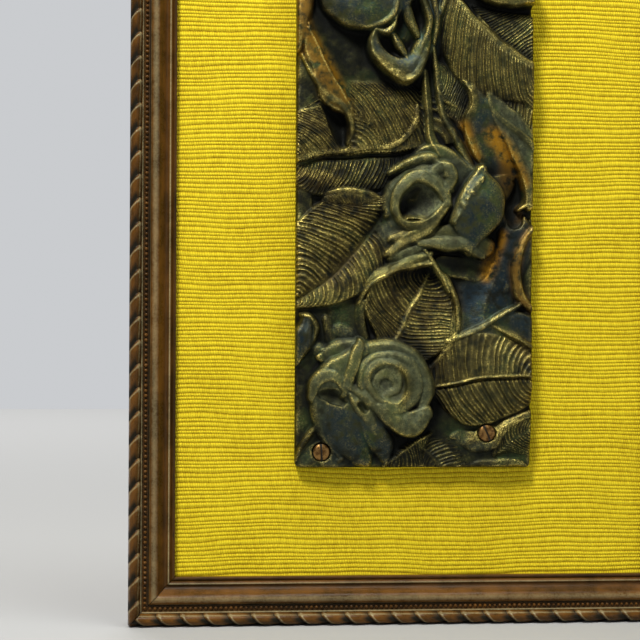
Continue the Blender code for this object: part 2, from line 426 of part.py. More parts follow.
         ((381.1, 40.7, 10), (392.5, 53.9, 8.6), (406.5, 57.7, 8.8), (416.3, 41.8, 9.4), (416, 10.2, 10)),
         (9, 14, 15, 13, 10), (10, 14, 15, 13, 9), drop=(-2.2, -2.2), power=(2, 2), cut=True),
    Form("rose3_cup",
         ((370.9, 30.7, 14.4), (370.9, 44.8, 15), (375.7, 57.7, 15.6), (386.6, 68.5, 16),
          (400.6, 72.1, 15.8), (412.7, 63.8, 15.2), (418.8, 47.6, 14.6), (424.9, 29.5, 14)),
         (2.6, 6, 10, 12, 9, 5), (4, 6.5, 9, 10, 8, 5), drop=((2, 2.4, 2.8, 2.4), (3, 2.4, 1.4, 2)),
         crown=(0.4, 0.4), power=(1.5, 2), melt=2.2),
    Form("rose3_cup_rim",
         ((371.8, 31.9, 15), (366.7, 43.2, 15.8), (368.1, 55.2, 16.4), (376.5, 67, 16.8),
          (388.4, 77.6, 17), (401.3, 83.7, 16.8), (412.4, 78.9, 16.2), (418.5, 67.8, 15.6),
          (422.7, 53.6, 14.8)), (3, 5, 6, 5), (2, 2.6, 2.8, 2.2), drop=(1.2, 2.8), power=(1.5, 2)),
    Form("rose3_roll", ((372.7, 34, 15.4), (382.4, 36.2, 16.4), (389.3, 30.1, 16.2), (391.4, 20, 15.8)),
         (3, 5, 5, 3), (2.4, 3, 2.6, 2), drop=(1.4, 2.4), power=(1.6, 2), melt=2.2),
    Form("rose3_inner_a", ((386.1, 32, 13.4), (392.8, 46.2, 14.6), (398.8, 56, 14.8), (403.2, 63.3, 13.4)),
         (3.4, 5, 5, 3), (2.2, 3, 3, 2), drop=(2, 2.6), power=(1.7, 2), melt=2.2),
    Form("rose3_inner_b",
         ((395.3, -6.7, 15.6), (401.1, 11.3, 16.6), (406.2, 25.9, 16.4), (412.7, 38.9, 14.8)), (4, 6, 6, 4),
         (3.4, 5, 5, 3.4), drop=(2.4, 2.6), power=(2, 2), melt=2.2),
    Form("rose3_outer_a",
         ((413.1, -7, 15.8), (421.1, 10.6, 16), (425.3, 24.2, 15.8), (421.6, 39.8, 15), (415.1, 55.3, 13.6)),
         (3, 4, 4, 3), (2.6, 3.4, 3.4, 2.6), drop=(2, 2.4), power=(1.7, 2), melt=2.2),
    Form("rose3_outer_b", ((426.4, -11.8, 14.8), (429.4, 8, 15), (432.7, 23.5, 14.4), (430.3, 44.8, 13)),
         (3, 4, 4, 3), (2.4, 2.8, 2.8, 2.4), drop=(2.2, 2.4), power=(1.7, 2), melt=2.2),
    Form("rose3_outer_c", ((450.7, -16.7, 14), (439.7, 3.5, 14), (434.1, 23, 13.2)), (3, 4, 3), (3, 4, 3),
         drop=(2.4, 2.4), power=(1.8, 1.8), melt=2.2),
    # the lower left rose
    Form("rose1_outer_left",
         ((332.5, 452.1, 8), (319.1, 429.9, 10), (314.2, 404, 11.8), (315.9, 381.2, 13),
          (327.1, 364.4, 13.8), (346.8, 352.5, 14)), (4, 6, 6, 6, 5, 4), (14, 20, 22, 24, 22, 18),
         drop=((3, 3.6, 3.8, 3.2), (1.2, 0.6, 0, 0.4)), crown=(0.2, 0.1), power=(1.5, 1.3), melt=2.4),
    Form("rose1_base", ((353.3, 380.2, 12), (377, 384.1, 12.8), (403.1, 388.1, 12.2)), (24, 34, 24),
         (24, 34, 24), drop=(1.8, 1.8), crown=(0.3, 0.3), power=(1.6, 1.6), melt=3),
    Form("rose1_body", ((333.5, 398, 12), (341.2, 419.6, 13.6), (349.5, 439.5, 12.6), (360.2, 457.9, 9.4)),
         (16, 24, 22, 12), (14, 22, 22, 12), drop=((2.6, 3.6, 4, 2.6), (2.6, 4.2, 4.6, 3.2)),
         crown=(0.6, 0.9), power=(1.8, 1.8), melt=2.4),
    Form("rose1_body_right",
         ((363.1, 411.7, 13.2), (375.1, 429.5, 13.2), (383.6, 445.7, 11.4), (386.3, 458, 9)), (6, 11, 11, 6),
         (12, 17, 16, 10), drop=((3.2, 4.2, 4.2), (1.8, 2.6, 2.8)), crown=(0.4, 0.3), power=(1.7, 1.5),
         melt=2.4),
    Form("rose1_plate", ((321.6, 352.7, 10.6), (337.3, 345.7, 11.6), (353.2, 342.7, 11.8)), (5, 7, 5),
         (10, 12, 10), drop=(3, 0.5), crown=(0.3, 0.3), power=(1.6, 1.8)),
    Form("rose1_left_hollow", ((320.9, 394.3, 10.4), (330.9, 396.3, 10), (339.7, 400.1, 10.8)), (4, 6, 4),
         (5, 8, 6), drop=(-2.2, -1.2), power=(1.6, 1.6), cut=True),
    Form("rose1_left_lip",
         ((313.5, 396, 12.8), (317.2, 385.1, 14), (326, 380.1, 14.8), (333.9, 383, 14.9),
          (340, 390.9, 14.2)), (8, 11, 13, 10, 5), (1.6, 2.2, 2.6, 2.4), drop=((1.2, 1.4, 1), 3.2),
         power=(1.4, 2), melt=2.2),
    Form("rose1_slit", ((339.1, 391, 13.8), (342.6, 376, 15.4), (347.3, 360.3, 16.2), (351.8, 346.5, 15.9)),
         (1.6, 2.2, 2.4, 2.2), (8, 10, 11, 9), drop=(3, (1, 0.8, 0.6)), crown=(0, 0.2), power=(2, 1.5),
         melt=2.2),
    Form("rose1_ring3",
         ((354.7, 352.5, 14), (368.5, 346.5, 14.2), (388.3, 345.4, 14.4), (406.3, 352.3, 14.4),
          (418.3, 364.1, 14.6), (425.3, 379.9, 14.8), (426.3, 397.7, 14.8), (420.5, 413.6, 14.4)),
         (5, 6, 6, 6, 6, 5, 3), (9, 10, 10, 10, 9, 8), drop=(3.2, 0.7), crown=(0.1, 0.1), power=(1.5, 1.3),
         melt=2.6),
    Form("rose1_lower_petal",
         ((344.9, 388, 14.2), (360.6, 396.7, 15.2), (376.4, 407.5, 15.8), (394.2, 418.3, 16),
          (408.2, 424.2, 16), (423.2, 412.5, 15.4)), (7, 10, 10, 10, 12, 8), (3, 6, 9, 12, 13, 8),
         drop=((1.6, 1.4, 1), (2.2, 2.2, 2.6)), crown=(-0.2, 0.2), power=(1.3, 1.5), melt=2.6),
    Form("rose1_ring2",
         ((357.6, 384.9, 14.8), (360, 368.1, 15.2), (372.2, 357.8, 15.4), (390.1, 355.2, 15.6),
          (404.9, 362.1, 15.8), (413.9, 374.9, 16), (414.5, 390.7, 16), (407.1, 404.5, 15.8),
          (393.3, 411.4, 15.6), (378.5, 406.6, 15.2)), (4, 5, 5, 4), (6, 8, 9, 9, 7), drop=(1.6, 0.8),
         crown=(0.1, 0.1), power=(1.3, 1.4), melt=2.6),
    Form("rose1_floor", ((378.9, 381.1, 12.9), (384.9, 384.1, 13.1), (390.9, 387, 12.9)), (17, 20, 18),
         (17, 20, 18), drop=(-2.8, -2.8), power=(2, 2), cut=True),
    Form("rose1_heart",
         ((371.8, 388, 13.6), (374.6, 376.1, 14.4), (385.4, 371.1, 14.8), (395.4, 378, 14.6),
          (394.6, 389.9, 14.2), (384.7, 395.8, 14)), (3, 4, 4, 3), (6, 8, 8, 6), drop=(0.9, 0.9),
         power=(1.6, 1.3), melt=2.4),
    Form("rose1_inner",
         ((394.3, 405.5, 15.4), (381.3, 400.6, 15.8), (370.3, 390.7, 16), (365.2, 378.9, 16.2),
          (369.1, 369, 16.4), (379.9, 363.6, 16.6), (391.8, 365, 16.8), (400.7, 372.9, 16.8),
          (404.8, 384.7, 16.6), (402.1, 396.6, 16), (394.3, 405.5, 15.4)), (5, 6, 6, 5), 3, drop=(1.2, 2.6),
         power=(1.5, 1.8)),
    Form("rose1_hole_petal",
         ((346.9, 394.9, 14.2), (353.7, 404.6, 15), (362.8, 417.5, 14.8), (373.2, 433.5, 12.8)),
         (3, 7, 8, 5), (3, 5, 5, 4), drop=(1.2, 2.6), power=(1.6, 2)),
    Form("rose1_hole", ((358.3, 404.9, 12.2), (362.3, 410.9, 12.2)), 3.4, 3.4, drop=(-2.4, -2.4),
         power=(2, 2), cut=True),
    Form("bump_a", ((346.2, 448.4, 9.6), (348.2, 449.4, 9.6)), 3.4, 3.4, drop=(2.4, 2.4), power=(2, 2)),
    Form("bump_c", ((337.6, 462, 8), (341.5, 460.5, 8.2)), 3, 3, drop=(2, 2), power=(2, 2)),
    # the crown of the panel
    Form("crown_leaf_left", ((367.8, -24.6, 10), (343.5, -47.2, 12), (317.7, -70.6, 12), (294.2, -92.9, 10)),
         (12, 28, 26, 6), (10, 26, 24, 6), drop=(2, 2), crown=(1.4, 1.4), melt=0.5),
    Form("crown_leaf_right",
         ((436, -24.1, 10), (465.3, -43.7, 12.5), (496.1, -64.4, 12.5), (529.9, -92.2, 10)), (12, 32, 28, 6),
         (12, 30, 28, 6), drop=(2.4, 2.4), crown=(1.5, 1.5), melt=0.5),
    Form("crown_leaf_top",
         ((407.7, -55.3, 10.5), (411.3, -74.7, 12), (415.4, -93, 11.6), (419.9, -107.8, 10)),
         (10, 26, 24, 6), (10, 26, 24, 6), drop=(2, 2), crown=(1.2, 1.2), melt=0.5),
    Form("rose3_top_a",
         ((346.5, -15.2, 16.4), (366.1, -33.4, 17), (393.8, -41.8, 17.4), (421.7, -36.7, 17),
          (438, -21.5, 16)), (4, 6, 7, 6, 4), (8, 12, 12, 12, 8), drop=(3.2, 2), crown=(0.4, 0.6),
         power=(2, 1.6)),
    Form("rose3_top_b",
         ((360.2, -7.3, 17), (373.9, -20.2, 17.8), (395.6, -26.6, 18), (415.5, -21.2, 17.6),
          (426.8, -7, 16.6)), (3, 4, 4, 3), (5, 7, 7, 5), drop=(2.6, 2.2), power=(2, 1.6)),
    Form("rose3_top_c", ((377.9, -3.5, 17.4), (387.7, -11.4, 18), (401.5, -12.7, 18), (411.8, -4.5, 17)),
         (2.6, 3.4, 3, 2.4), (4, 5, 5, 4), drop=(2.2, 2), power=(2, 1.6)),
    Form("bud_left_top", ((313.7, -36.5, 12), (303.5, -51.3, 14), (297.9, -68.1, 12)), (8, 12, 6),
         (8, 10, 6), drop=(3, 3), crown=(0.8, 0.8)),
)


def curve(points, count):
    """Points along a smooth curve through the given stations."""
    p = np.asarray(points, float)
    if len(p) == 1:
        return np.repeat(p, count, axis=0)
    if len(p) == 2:
        t = np.linspace(0, 1, count)[:, None]
        return p[0] * (1 - t) + p[1] * t
    ends = np.vstack([2 * p[0] - p[1], p, 2 * p[-1] - p[-2]])
    u = np.linspace(0, len(p) - 1, count)
    k = np.minimum(u.astype(int), len(p) - 2)
    f = (u - k)[:, None]
    a, b, c, d = ends[k], ends[k + 1], ends[k + 2], ends[k + 3]
    square = (2 * a - 5 * b + 4 * c - d) * f ** 2
    cube = (3 * b - a - 3 * c + d) * f ** 3
    return 0.5 * (2 * b + (c - a) * f + square + cube)


def along(values, t):
    """A size that changes smoothly along a spine, read at the shares t."""
    stations = curve(np.atleast_1d(np.asarray(values, float))[:, None], 121)[:, 0]
    return np.interp(t, np.linspace(0, 1, 121), stations)


def nearest(spine, x, y):
    """Share along the spine, distance from it and side of it (true: left) for every point."""
    step = np.diff(spine[:, :2], axis=0)
    length = np.hypot(step[:, 0], step[:, 1])
    run = np.concatenate([[0], np.cumsum(length)])
    best = np.full(x.shape, 1e9)
    share = np.zeros(x.shape)
    side = np.zeros(x.shape)
    for k, (dx, dy) in enumerate(step):
        px = x - spine[k, 0]
        py = y - spine[k, 1]
        f = np.clip((px * dx + py * dy) / (length[k] ** 2 + 1e-12), 0, 1)
        ex = px - f * dx
        ey = py - f * dy
        square = ex * ex + ey * ey
        closer = square < best
        best[closer] = square[closer]
        share[closer] = ((run[k] + f * length[k]) / run[-1])[closer]
        side[closer] = (ey * dx - ex * dy)[closer]
    return share, np.sqrt(best), side <= 0, run / run[-1]


def raise_form(height, x, y, form):
    """Lay one form over the height field."""
    spine = curve(form.spine, 64)
    reach = max(np.max(form.left), np.max(form.right)) + 1.0
    near = (x > spine[:, 0].min() - reach) & (x < spine[:, 0].max() + reach)
    near &= (y > spine[:, 1].min() - reach) & (y < spine[:, 1].max() + reach)
    if not near.any():
        return
    share, distance, left, stations = nearest(spine, x[near], y[near])

    def pick(pair):
        return np.where(left, along(pair[0], share), along(pair[1], share))

    width = np.maximum(pick((form.left, form.right)), 1e-3)
    r = np.minimum(distance / width, 1)
    power = np.where(left, form.power[0], form.power[1])
    surface = np.interp(share, stations, spine[:, 2])
    surface = surface - pick(form.drop) * r ** power + pick(form.crown) * 4 * r ** power * (1 - r)
    surface = surface - SHEET_ROUNDING_DEPTH * np.clip(1 - (1 - r) * width / SHEET_ROUNDING_WIDTH, 0, 1) ** 2
    now = height[near]
    if not form.cut:
        inward = ease(0, SHEET_MELT_SHARE, 1 - r)
        close = np.maximum(form.melt - np.abs(surface - now), 0) / form.melt * inward
        surface = np.maximum(surface, now) + close ** 2 * form.melt / 4
    height[near] = np.where(distance <= width, surface, now)


def ease(low, high, x):
    """A smooth step from 0 at low to 1 at high."""
    f = np.clip((x - low) / (high - low), 0, 1)
    return f * f * (3 - 2 * f)


def blur(field, sigma):
    """Gaussian blur with the edges held."""
    reach = int(np.ceil(3 * sigma))
    weights = np.exp(-0.5 * (np.arange(-reach, reach + 1) / sigma) ** 2)
    weights /= weights.sum()
    padded = np.pad(field, reach, mode="edge")
    rows = sum(w * padded[i:i + field.shape[0], :] for i, w in enumerate(weights))
    return sum(w * rows[:, i:i + field.shape[1]] for i, w in enumerate(weights))


def relief_field():
    """Grid of the relief's height above its back, in sheet units."""
    xs = np.arange(SHEET_LEFT, SHEET_LEFT + SHEET_WIDTH + SHEET_STEP / 2, SHEET_STEP)
    ys = np.arange(SHEET_TOP, SHEET_TOP + SHEET_HEIGHT + SHEET_STEP / 2, SHEET_STEP)
    x, y = np.meshgrid(xs, ys)
    height = np.full(x.shape, SHEET_GROUND)
    for form in FORMS:
        raise_form(height, x, y, form)
    fill = blur(height, SHEET_FILL_SPREAD / SHEET_STEP) - SHEET_FILL_DEPTH
    return blur(np.maximum(height, fill), SHEET_SOFTENING / SHEET_STEP)


def rounded_outline():
    """The relief's outline on the sheet, corners rounded, in even steps."""
    scale = RELIEF_WIDTH / SHEET_WIDTH
    corner = RELIEF_CORNER / scale
    step = RELIEF_EDGE_STEP / scale
    right = SHEET_LEFT + SHEET_WIDTH
    bottom = SHEET_TOP + SHEET_HEIGHT
    centres = (
        (right - corner, SHEET_TOP + corner, -90),
        (right - corner, bottom - corner, 0),
        (SHEET_LEFT + corner, bottom - corner, 90),
        (SHEET_LEFT + corner, SHEET_TOP + corner, 180),
    )
    outline = []
    for x, y, start in centres:
        for turn in (0, 30, 60, 90):
            a = radians(start + turn)
            outline.append((x + corner * cos(a), y + corner * sin(a)))
    points = []
    for a, b in zip(outline, outline[1:] + outline[:1]):
        pieces = max(1, round(((a[0] - b[0]) ** 2 + (a[1] - b[1]) ** 2) ** 0.5 / step))
        for i in range(pieces):
            points.append((a[0] + (b[0] - a[0]) * i / pieces, a[1] + (b[1] - a[1]) * i / pieces))
    return points


def worst_points(points, heights, faces, height):
    """For every triangle the grid point that stands farthest from it, with that distance."""
    found = []
    for face in faces:
        (ax, ay), (bx, by), (cx, cy) = (points[i] for i in face)
        area = (bx - ax) * (cy - ay) - (cx - ax) * (by - ay)
        if abs(area) < FIT_SLIVER:
            continue
        i0 = int(np.ceil((min(ax, bx, cx) - SHEET_LEFT) / SHEET_STEP))
        i1 = int((max(ax, bx, cx) - SHEET_LEFT) / SHEET_STEP)
        j0 = int(np.ceil((min(ay, by, cy) - SHEET_TOP) / SHEET_STEP))
        j1 = int((max(ay, by, cy) - SHEET_TOP) / SHEET_STEP)
        if i1 < i0 or j1 < j0:
            continue
        gx = SHEET_LEFT + SHEET_STEP * np.arange(i0, i1 + 1)[None, :]
        gy = SHEET_TOP + SHEET_STEP * np.arange(j0, j1 + 1)[:, None]
        u = ((gx - ax) * (cy - ay) - (cx - ax) * (gy - ay)) / area
        v = ((bx - ax) * (gy - ay) - (gx - ax) * (by - ay)) / area
        flat = heights[face[0]] * (1 - u - v) + heights[face[1]] * u + heights[face[2]] * v
        gap = np.abs(height[j0:j1 + 1, i0:i1 + 1] - flat)
        gap[(u < FIT_NEAR_EDGE) | (v < FIT_NEAR_EDGE) | (u + v > 1 - FIT_NEAR_EDGE)] = 0
        j, i = np.unravel_index(gap.argmax(), gap.shape)
        if gap[j, i] > FIT_TOLERANCE:
            found.append((gap[j, i], float(gx[0, i]), float(gy[j, 0])))
    return sorted(found, reverse=True)


def fit_surface(height):
    """Triangulate the height field with the points that matter most."""
    points = rounded_outline()
    for i in range(1, SHEET_WIDTH // FIT_SPACING + 1):
        for j in range(1, SHEET_HEIGHT // FIT_SPACING + 1):
            points.append((SHEET_LEFT + FIT_SPACING * (i - 0.5), SHEET_TOP + FIT_SPACING * (j - 0.25)))
    while True:
        result = delaunay_2d_cdt([Vector(p) for p in points], [], [], 0, 1e-4)
        points = [(v.x, v.y) for v in result[0]]
        heights = [read_height(height, p) for p in points]
        if len(points) >= RELIEF_POINTS:
            return points, heights, result[2]
        found = worst_points(points, heights, result[2], height)
        share = min(RELIEF_POINTS - len(points), max(FIT_BATCH, len(found) // 3))
        points += [(x, y) for _, x, y in found[:share]]


def read_height(height, point):
    """Height of the field at a point of the sheet, between its grid points."""
    u = min(max((point[0] - SHEET_LEFT) / SHEET_STEP, 0), height.shape[1] - 1.001)
    v = min(max((point[1] - SHEET_TOP) / SHEET_STEP, 0), height.shape[0] - 1.001)
    i, j = int(u), int(v)
    fu, fv = u - i, v - j
    upper = height[j, i] * (1 - fu) + height[j, i + 1] * fu
    lower = height[j + 1, i] * (1 - fu) + height[j + 1, i + 1] * fu
    return upper * (1 - fv) + lower * fv


def from_sheet(x, y, height):
    """A place on the sheet as a point in space."""
    across = (x - SHEET_LEFT) / SHEET_WIDTH - 0.5
    down = (y - SHEET_TOP) / SHEET_HEIGHT - 0.5
    return Vector((across * RELIEF_WIDTH, RELIEF_BACK - height * RELIEF_DEPTH / SHEET_DEPTH,
                   CENTRE_Z - down * RELIEF_HEIGHT))


def material(name, colour, metallic, roughness):
    """A plain finish."""
    made = bpy.data.materials.new(name)
    made.use_nodes = True
    shader = made.node_tree.nodes["Principled BSDF"]
    shader.inputs["Base Color"].default_value = (*colour, 1.0)
    shader.inputs["Metallic"].default_value = metallic
    shader.inputs["Roughness"].default_value = roughness
    made.diffuse_color = (*colour, 1.0)
    return made


def finish(name, bm, made):
    """Close a bmesh into a named object that wears one material."""
    bmesh.ops.recalc_face_normals(bm, faces=bm.faces)
    mesh = bpy.data.meshes.new(name)
    bm.to_mesh(mesh)
    bm.free()
    mesh.materials.append(made)
    obj = bpy.data.objects.new(name, mesh)
    bpy.context.scene.collection.objects.link(obj)
    return obj


def add_box(bm, low, high):
    """A box between two corners."""
    corners = [bm.verts.new(corner) for corner in product(*zip(low, high))]
    for face in ((0, 1, 3, 2), (4, 6, 7, 5), (0, 4, 5, 1), (2, 3, 7, 6), (0, 2, 6, 4), (1, 5, 7, 3)):
        bm.faces.new([corners[i] for i in face])


def add_turned(bm, centre, profile, segments):
    """A turned body on an axis along Y, from (radius, y) stations, closed at both ends."""
    rings = []
    for radius, y in profile:
        ring = []
        for i in range(segments):
            a = 2 * pi * i / segments
            ring.append(bm.verts.new((centre[0] + radius * cos(a), y, centre[1] + radius * sin(a))))
        rings.append(ring)
    for a, b in zip(rings, rings[1:]):
        for i in range(segments):
            k = (i + 1) % segments
            bm.faces.new((a[i], a[k], b[k], b[i]))
    bm.faces.new(rings[0])
    bm.faces.new(rings[-1])


def cut_with(target, cutter):
    """Subtract a hidden cutter from a target."""
    cutter.hide_render = True
    cutter.display_type = "WIRE"
    boolean = target.modifiers.new("cut_" + cutter.name, "BOOLEAN")
    boolean.operation = "DIFFERENCE"
    boolean.solver = "EXACT"
    boolean.object = cutter


def build_relief(made):
    """The casting: the triangulated front, upright edges and a flat back."""
    points, heights, faces = fit_surface(relief_field())
    bm = bmesh.new()
    front = [bm.verts.new(from_sheet(px, py, h)) for (px, py), h in zip(points, heights)]
    for face in faces:
        bm.faces.new([front[i] for i in face])
    bm.edges.ensure_lookup_table()
    rim = [edge for edge in bm.edges if edge.is_boundary]
    behind = {}
    for edge in rim:
        for vert in edge.verts:
            if vert not in behind:
                behind[vert] = bm.verts.new((vert.co.x, RELIEF_BACK, vert.co.z))
    for edge in rim:
        a, b = edge.verts
        bm.faces.new((a, b, behind[b], behind[a]))
    ordered = sorted(behind.values(), key=lambda v: atan2(v.co.z - CENTRE_Z, v.co.x))
    bm.faces.new(ordered)
    return finish("relief", bm, made)


def screw_places():
    """Each screw with its centre in space and the height of its seat."""
    for screw in SCREWS:
        seat = from_sheet(screw.x, screw.y, screw.seat)
        yield screw, (seat.x, seat.z), seat.y


def build_screw_cutters(made):
    """Stepped bores for the relief, plain bores for the cloth and blind holes for the board."""
    bores = bmesh.new()
    cloth = bmesh.new()
    holes = bmesh.new()
    head = SCREW_HEAD_RADIUS + SCREW_HEAD_CLEARANCE
    shank = SCREW_SHANK_RADIUS + SCREW_SHANK_CLEARANCE
    for _, centre, seat in screw_places():
        end = RELIEF_BACK + CUTTER_CLEAR
        stepped = ((head, seat - RELIEF_DEPTH), (head, seat), (shank, seat), (shank, end))
        add_turned(bores, centre, stepped, 20)
        through = ((shank, CLOTH_FRONT - CUTTER_CLEAR), (shank, BOARD_FRONT - CLEARANCE / 2))
        add_turned(cloth, centre, through, 12)
        blind = ((shank, BOARD_FRONT - CUTTER_CLEAR), (shank, BOARD_FRONT + SCREW_GRIP + SCREW_HOLE_SPARE))
        add_turned(holes, centre, blind, 12)
    cutters = (("cutter_bores", bores), ("cutter_cloth", cloth), ("cutter_holes", holes))
    return [finish(name, bm, made) for name, bm in cutters]


def build_screws(made):
    """Slotted screws with low domed heads."""
    for screw, centre, seat in screw_places():
        bm = bmesh.new()
        top = seat - CLEARANCE - SCREW_HEAD_RIM
        profile = (
            (SCREW_HEAD_RADIUS * 0.55, top - SCREW_HEAD_DOME),
            (SCREW_HEAD_RADIUS, top),
            (SCREW_HEAD_RADIUS, seat - CLEARANCE),
            (SCREW_SHANK_RADIUS, seat - CLEARANCE),
            (SCREW_SHANK_RADIUS, BOARD_FRONT + SCREW_GRIP - SCREW_SHANK_RADIUS),
            (SCREW_SHANK_RADIUS * 0.35, BOARD_FRONT + SCREW_GRIP),
        )
        add_turned(bm, centre, profile, 16)
        body = finish(screw.name, bm, made)
        slot = bmesh.new()
        half = SCREW_SLOT_WIDTH / 2
        across = 2 * SCREW_HEAD_RADIUS
        floor = SCREW_SLOT_DEPTH - SCREW_HEAD_DOME
        add_box(slot, (-half, -CUTTER_CLEAR, -across), (half, floor, across))
        turn = Matrix.Rotation(-radians(screw.slot_degrees), 4, "Y")
        slot.transform(Matrix.Translation((centre[0], top, centre[1])) @ turn)
        cut_with(body, finish("cutter_" + screw.name, slot, made))


def rail_profile():
    """Section of a rail without its rope: (outward from the sight edge, out from the wall)."""
    rebate = [(RAIL_WIDTH, 0.0), (REBATE_WIDTH, 0.0), (REBATE_WIDTH, REBATE_DEPTH), (0.0, REBATE_DEPTH)]
    inner = RAIL_WIDTH - ROPE_WIDTH
    rise = CHANNEL_DEPTH - SIGHT_DEPTH
    return rebate + [(inner * s, SIGHT_DEPTH + rise * h) for s, h in MOULDING]


def rope_section(crest):
    """Section of the rope from the channel to the outer edge, at a crest or in the hollow between strands."""
    inner = RAIL_WIDTH - ROPE_WIDTH
    top = RAIL_DEPTH if crest else RAIL_DEPTH - ROPE_RELIEF
    back = [(inner + ROPE_WIDTH * s, CHANNEL_DEPTH + (top - CHANNEL_DEPTH) * h) for s, h in ROPE_SECTION]
    return [(inner, CHANNEL_DEPTH)] + back + [(RAIL_WIDTH, CHANNEL_DEPTH - ROPE_FOOT)]


def build_rail(name, length, place, made):
    """One mitred rail. The length is its outer edge and place turns (along, outward, out) into space."""
    bm = bmesh.new()
    lean = ROPE_LEAN * ROPE_WIDTH
    overrun = 2 * (lean + ROPE_PITCH)
    ends = (-length / 2 - overrun, length / 2 + overrun)
    lines = [[bm.verts.new(place(p, s, h)) for p in ends] for s, h in rail_profile()]
    for a, b in zip(lines[:-2], lines[1:-1]):
        bm.faces.new((a[0], a[1], b[1], b[0]))
    inner = RAIL_WIDTH - ROPE_WIDTH
    reach = ceil((length / 2 + lean) / (ROPE_PITCH / 2))
    columns = []
    for i in range(-reach, reach + 1):
        p = i * ROPE_PITCH / 2
        leaning = [(p + ROPE_LEAN * (s - inner), s, h) for s, h in rope_section(i % 2 == 0)]
        columns.append([bm.verts.new(place(*spot)) for spot in leaning])
    for a, b in zip(columns, columns[1:]):
        for i in range(len(a) - 1):
            bm.faces.new((a[i], b[i], b[i + 1], a[i + 1]))
    floor, step = lines[-2:]
    bm.faces.new([step[0], floor[0], floor[1], step[1]] + [column[0] for column in reversed(columns)])
    back = lines[0]
    foot = [bm.verts.new(place(p, RAIL_WIDTH, CHANNEL_DEPTH - ROPE_FOOT)) for p in ends]
    bm.faces.new([back[0], foot[0]] + [column[-1] for column in columns] + [foot[1], back[1]])
    tip = length / 2 - MITRE_GAP * 0.5 ** 0.5
    for side in (-1, 1):
        corner = Vector(place(side * tip, RAIL_WIDTH, 0))
        inward = Vector(place(side * (tip - RAIL_WIDTH), 0, 0)) - corner
        normal = inward.cross(Vector((0, 1, 0))).normalized()
        if normal.dot(Vector(place(side, 0, 0)) - Vector(place(0, 0, 0))) < 0:
            normal.negate()
        geometry = bm.verts[:] + bm.edges[:] + bm.faces[:]
        cut = bmesh.ops.bisect_plane(
            bm, geom=geometry, plane_co=corner, plane_no=normal, clear_outer=True, dist=1e-7)
        loop = [item for item in cut["geom_cut"] if isinstance(item, bmesh.types.BMEdge)]
        bmesh.ops.contextual_create(bm, geom=loop)
    return finish(name, bm, made)


def build_frame(made):
    """Four rails laid round the sight opening, all carved from the same run of moulding."""
    half_w = SIGHT_WIDTH / 2
    half_h = SIGHT_HEIGHT / 2
    return [
        build_rail("frame_rail_bottom", FRAME_WIDTH, lambda p, s, h: (p, -h, CENTRE_Z - half_h - s), made),
        build_rail("frame_rail_right", FRAME_HEIGHT, lambda p, s, h: (half_w + s, -h, CENTRE_Z + p), made),
        build_rail("frame_rail_top", FRAME_WIDTH, lambda p, s, h: (-p, -h, CENTRE_Z + half_h + s), made),
        build_rail("frame_rail_left", FRAME_HEIGHT, lambda p, s, h: (-half_w - s, -h, CENTRE_Z - p), made),
    ]


def build_board(made):
    """The backing board."""
    bm = bmesh.new()
    add_box(bm, (-BOARD_WIDTH / 2, BOARD_FRONT, CENTRE_Z - BOARD_HEIGHT / 2),
            (BOARD_WIDTH / 2, BOARD_BACK, CENTRE_Z + BOARD_HEIGHT / 2))
    return finish("backing_board", bm, made)


def build_cloth(made):
    """The cloth over the board's front, round its edges and turned in on its back."""
    thick = CLOTH_THICKNESS
    w = CLOTH_WIDTH / 2
    h = CLOTH_HEIGHT / 2
    rings = (
        (w, h, CLOTH_FRONT),
        (w, h, CLOTH_BACK),
        (w - CLOTH_TURN, h - CLOTH_TURN, CLOTH_BACK),
        (w - CLOTH_TURN, h - CLOTH_TURN, CLOTH_BACK - thick),
        (w - thick, h - thick, CLOTH_BACK - thick),
        (w - thick, h - thick, CLOTH_FRONT + thick),
    )
    bm = bmesh.new()
    loops = []
    for half_w, half_h, y in rings:
        corners = ((-half_w, -half_h), (half_w, -half_h), (half_w, half_h), (-half_w, half_h))
        loops.append([bm.verts.new((cx, y, CENTRE_Z + cz)) for cx, cz in corners])
    for a, b in zip(loops, loops[1:]):
        for i in range(4):
            k = (i + 1) % 4
            bm.faces.new((a[i], a[k], b[k], b[i]))
    bm.faces.new(loops[0])
    bm.faces.new(loops[-1])
    return finish("backing_cloth", bm, made)


def build_hanger(name, centre_x, rail, made):
    """A sawtooth plate let into the back of the top rail on two nails."""
    half_l = HANGER_LENGTH / 2
    half_w = HANGER_WIDTH / 2
    recess = bmesh.new()
    add_box(recess, (centre_x - half_l - HANGER_RECESS_SPARE, -HANGER_RECESS, -half_w - HANGER_RECESS_SPARE),
            (centre_x + half_l + HANGER_RECESS_SPARE, CUTTER_CLEAR, half_w + HANGER_RECESS_SPARE))
    cut_with(rail, finish("cutter_recess_" + name, recess, made))
    front = -HANGER_RECESS + CLEARANCE
    back = front + HANGER_THICKNESS
    outline = [(half_l, -half_w), (half_l, half_w), (-half_l, half_w), (-half_l, -half_w)]
    for i in range(HANGER_TEETH):
        left = (i - HANGER_TEETH / 2) * HANGER_TOOTH_PITCH
        outline.append((left, -half_w))
        outline.append((left + HANGER_TOOTH_PITCH / 2, -half_w + HANGER_TOOTH_DEPTH))
    outline.append((HANGER_TEETH / 2 * HANGER_TOOTH_PITCH, -half_w))
    bm = bmesh.new()
    near = [bm.verts.new((centre_x + px, front, pz)) for px, pz in outline]
    far = [bm.verts.new((centre_x + px, back, pz)) for px, pz in outline]
    bm.faces.new(near)
    bm.faces.new(far)
    for i in range(len(outline)):
        k = (i + 1) % len(outline)
        bm.faces.new((near[i], near[k], far[k], far[i]))
    plate = finish(name, bm, made)
    for side, label in ((-1, "left"), (1, "right")):
        centre = (centre_x + side * (half_l - NAIL_INSET), half_w / 3)
        build_nail(name, label, centre, back + CLEARANCE, (plate, rail), made)


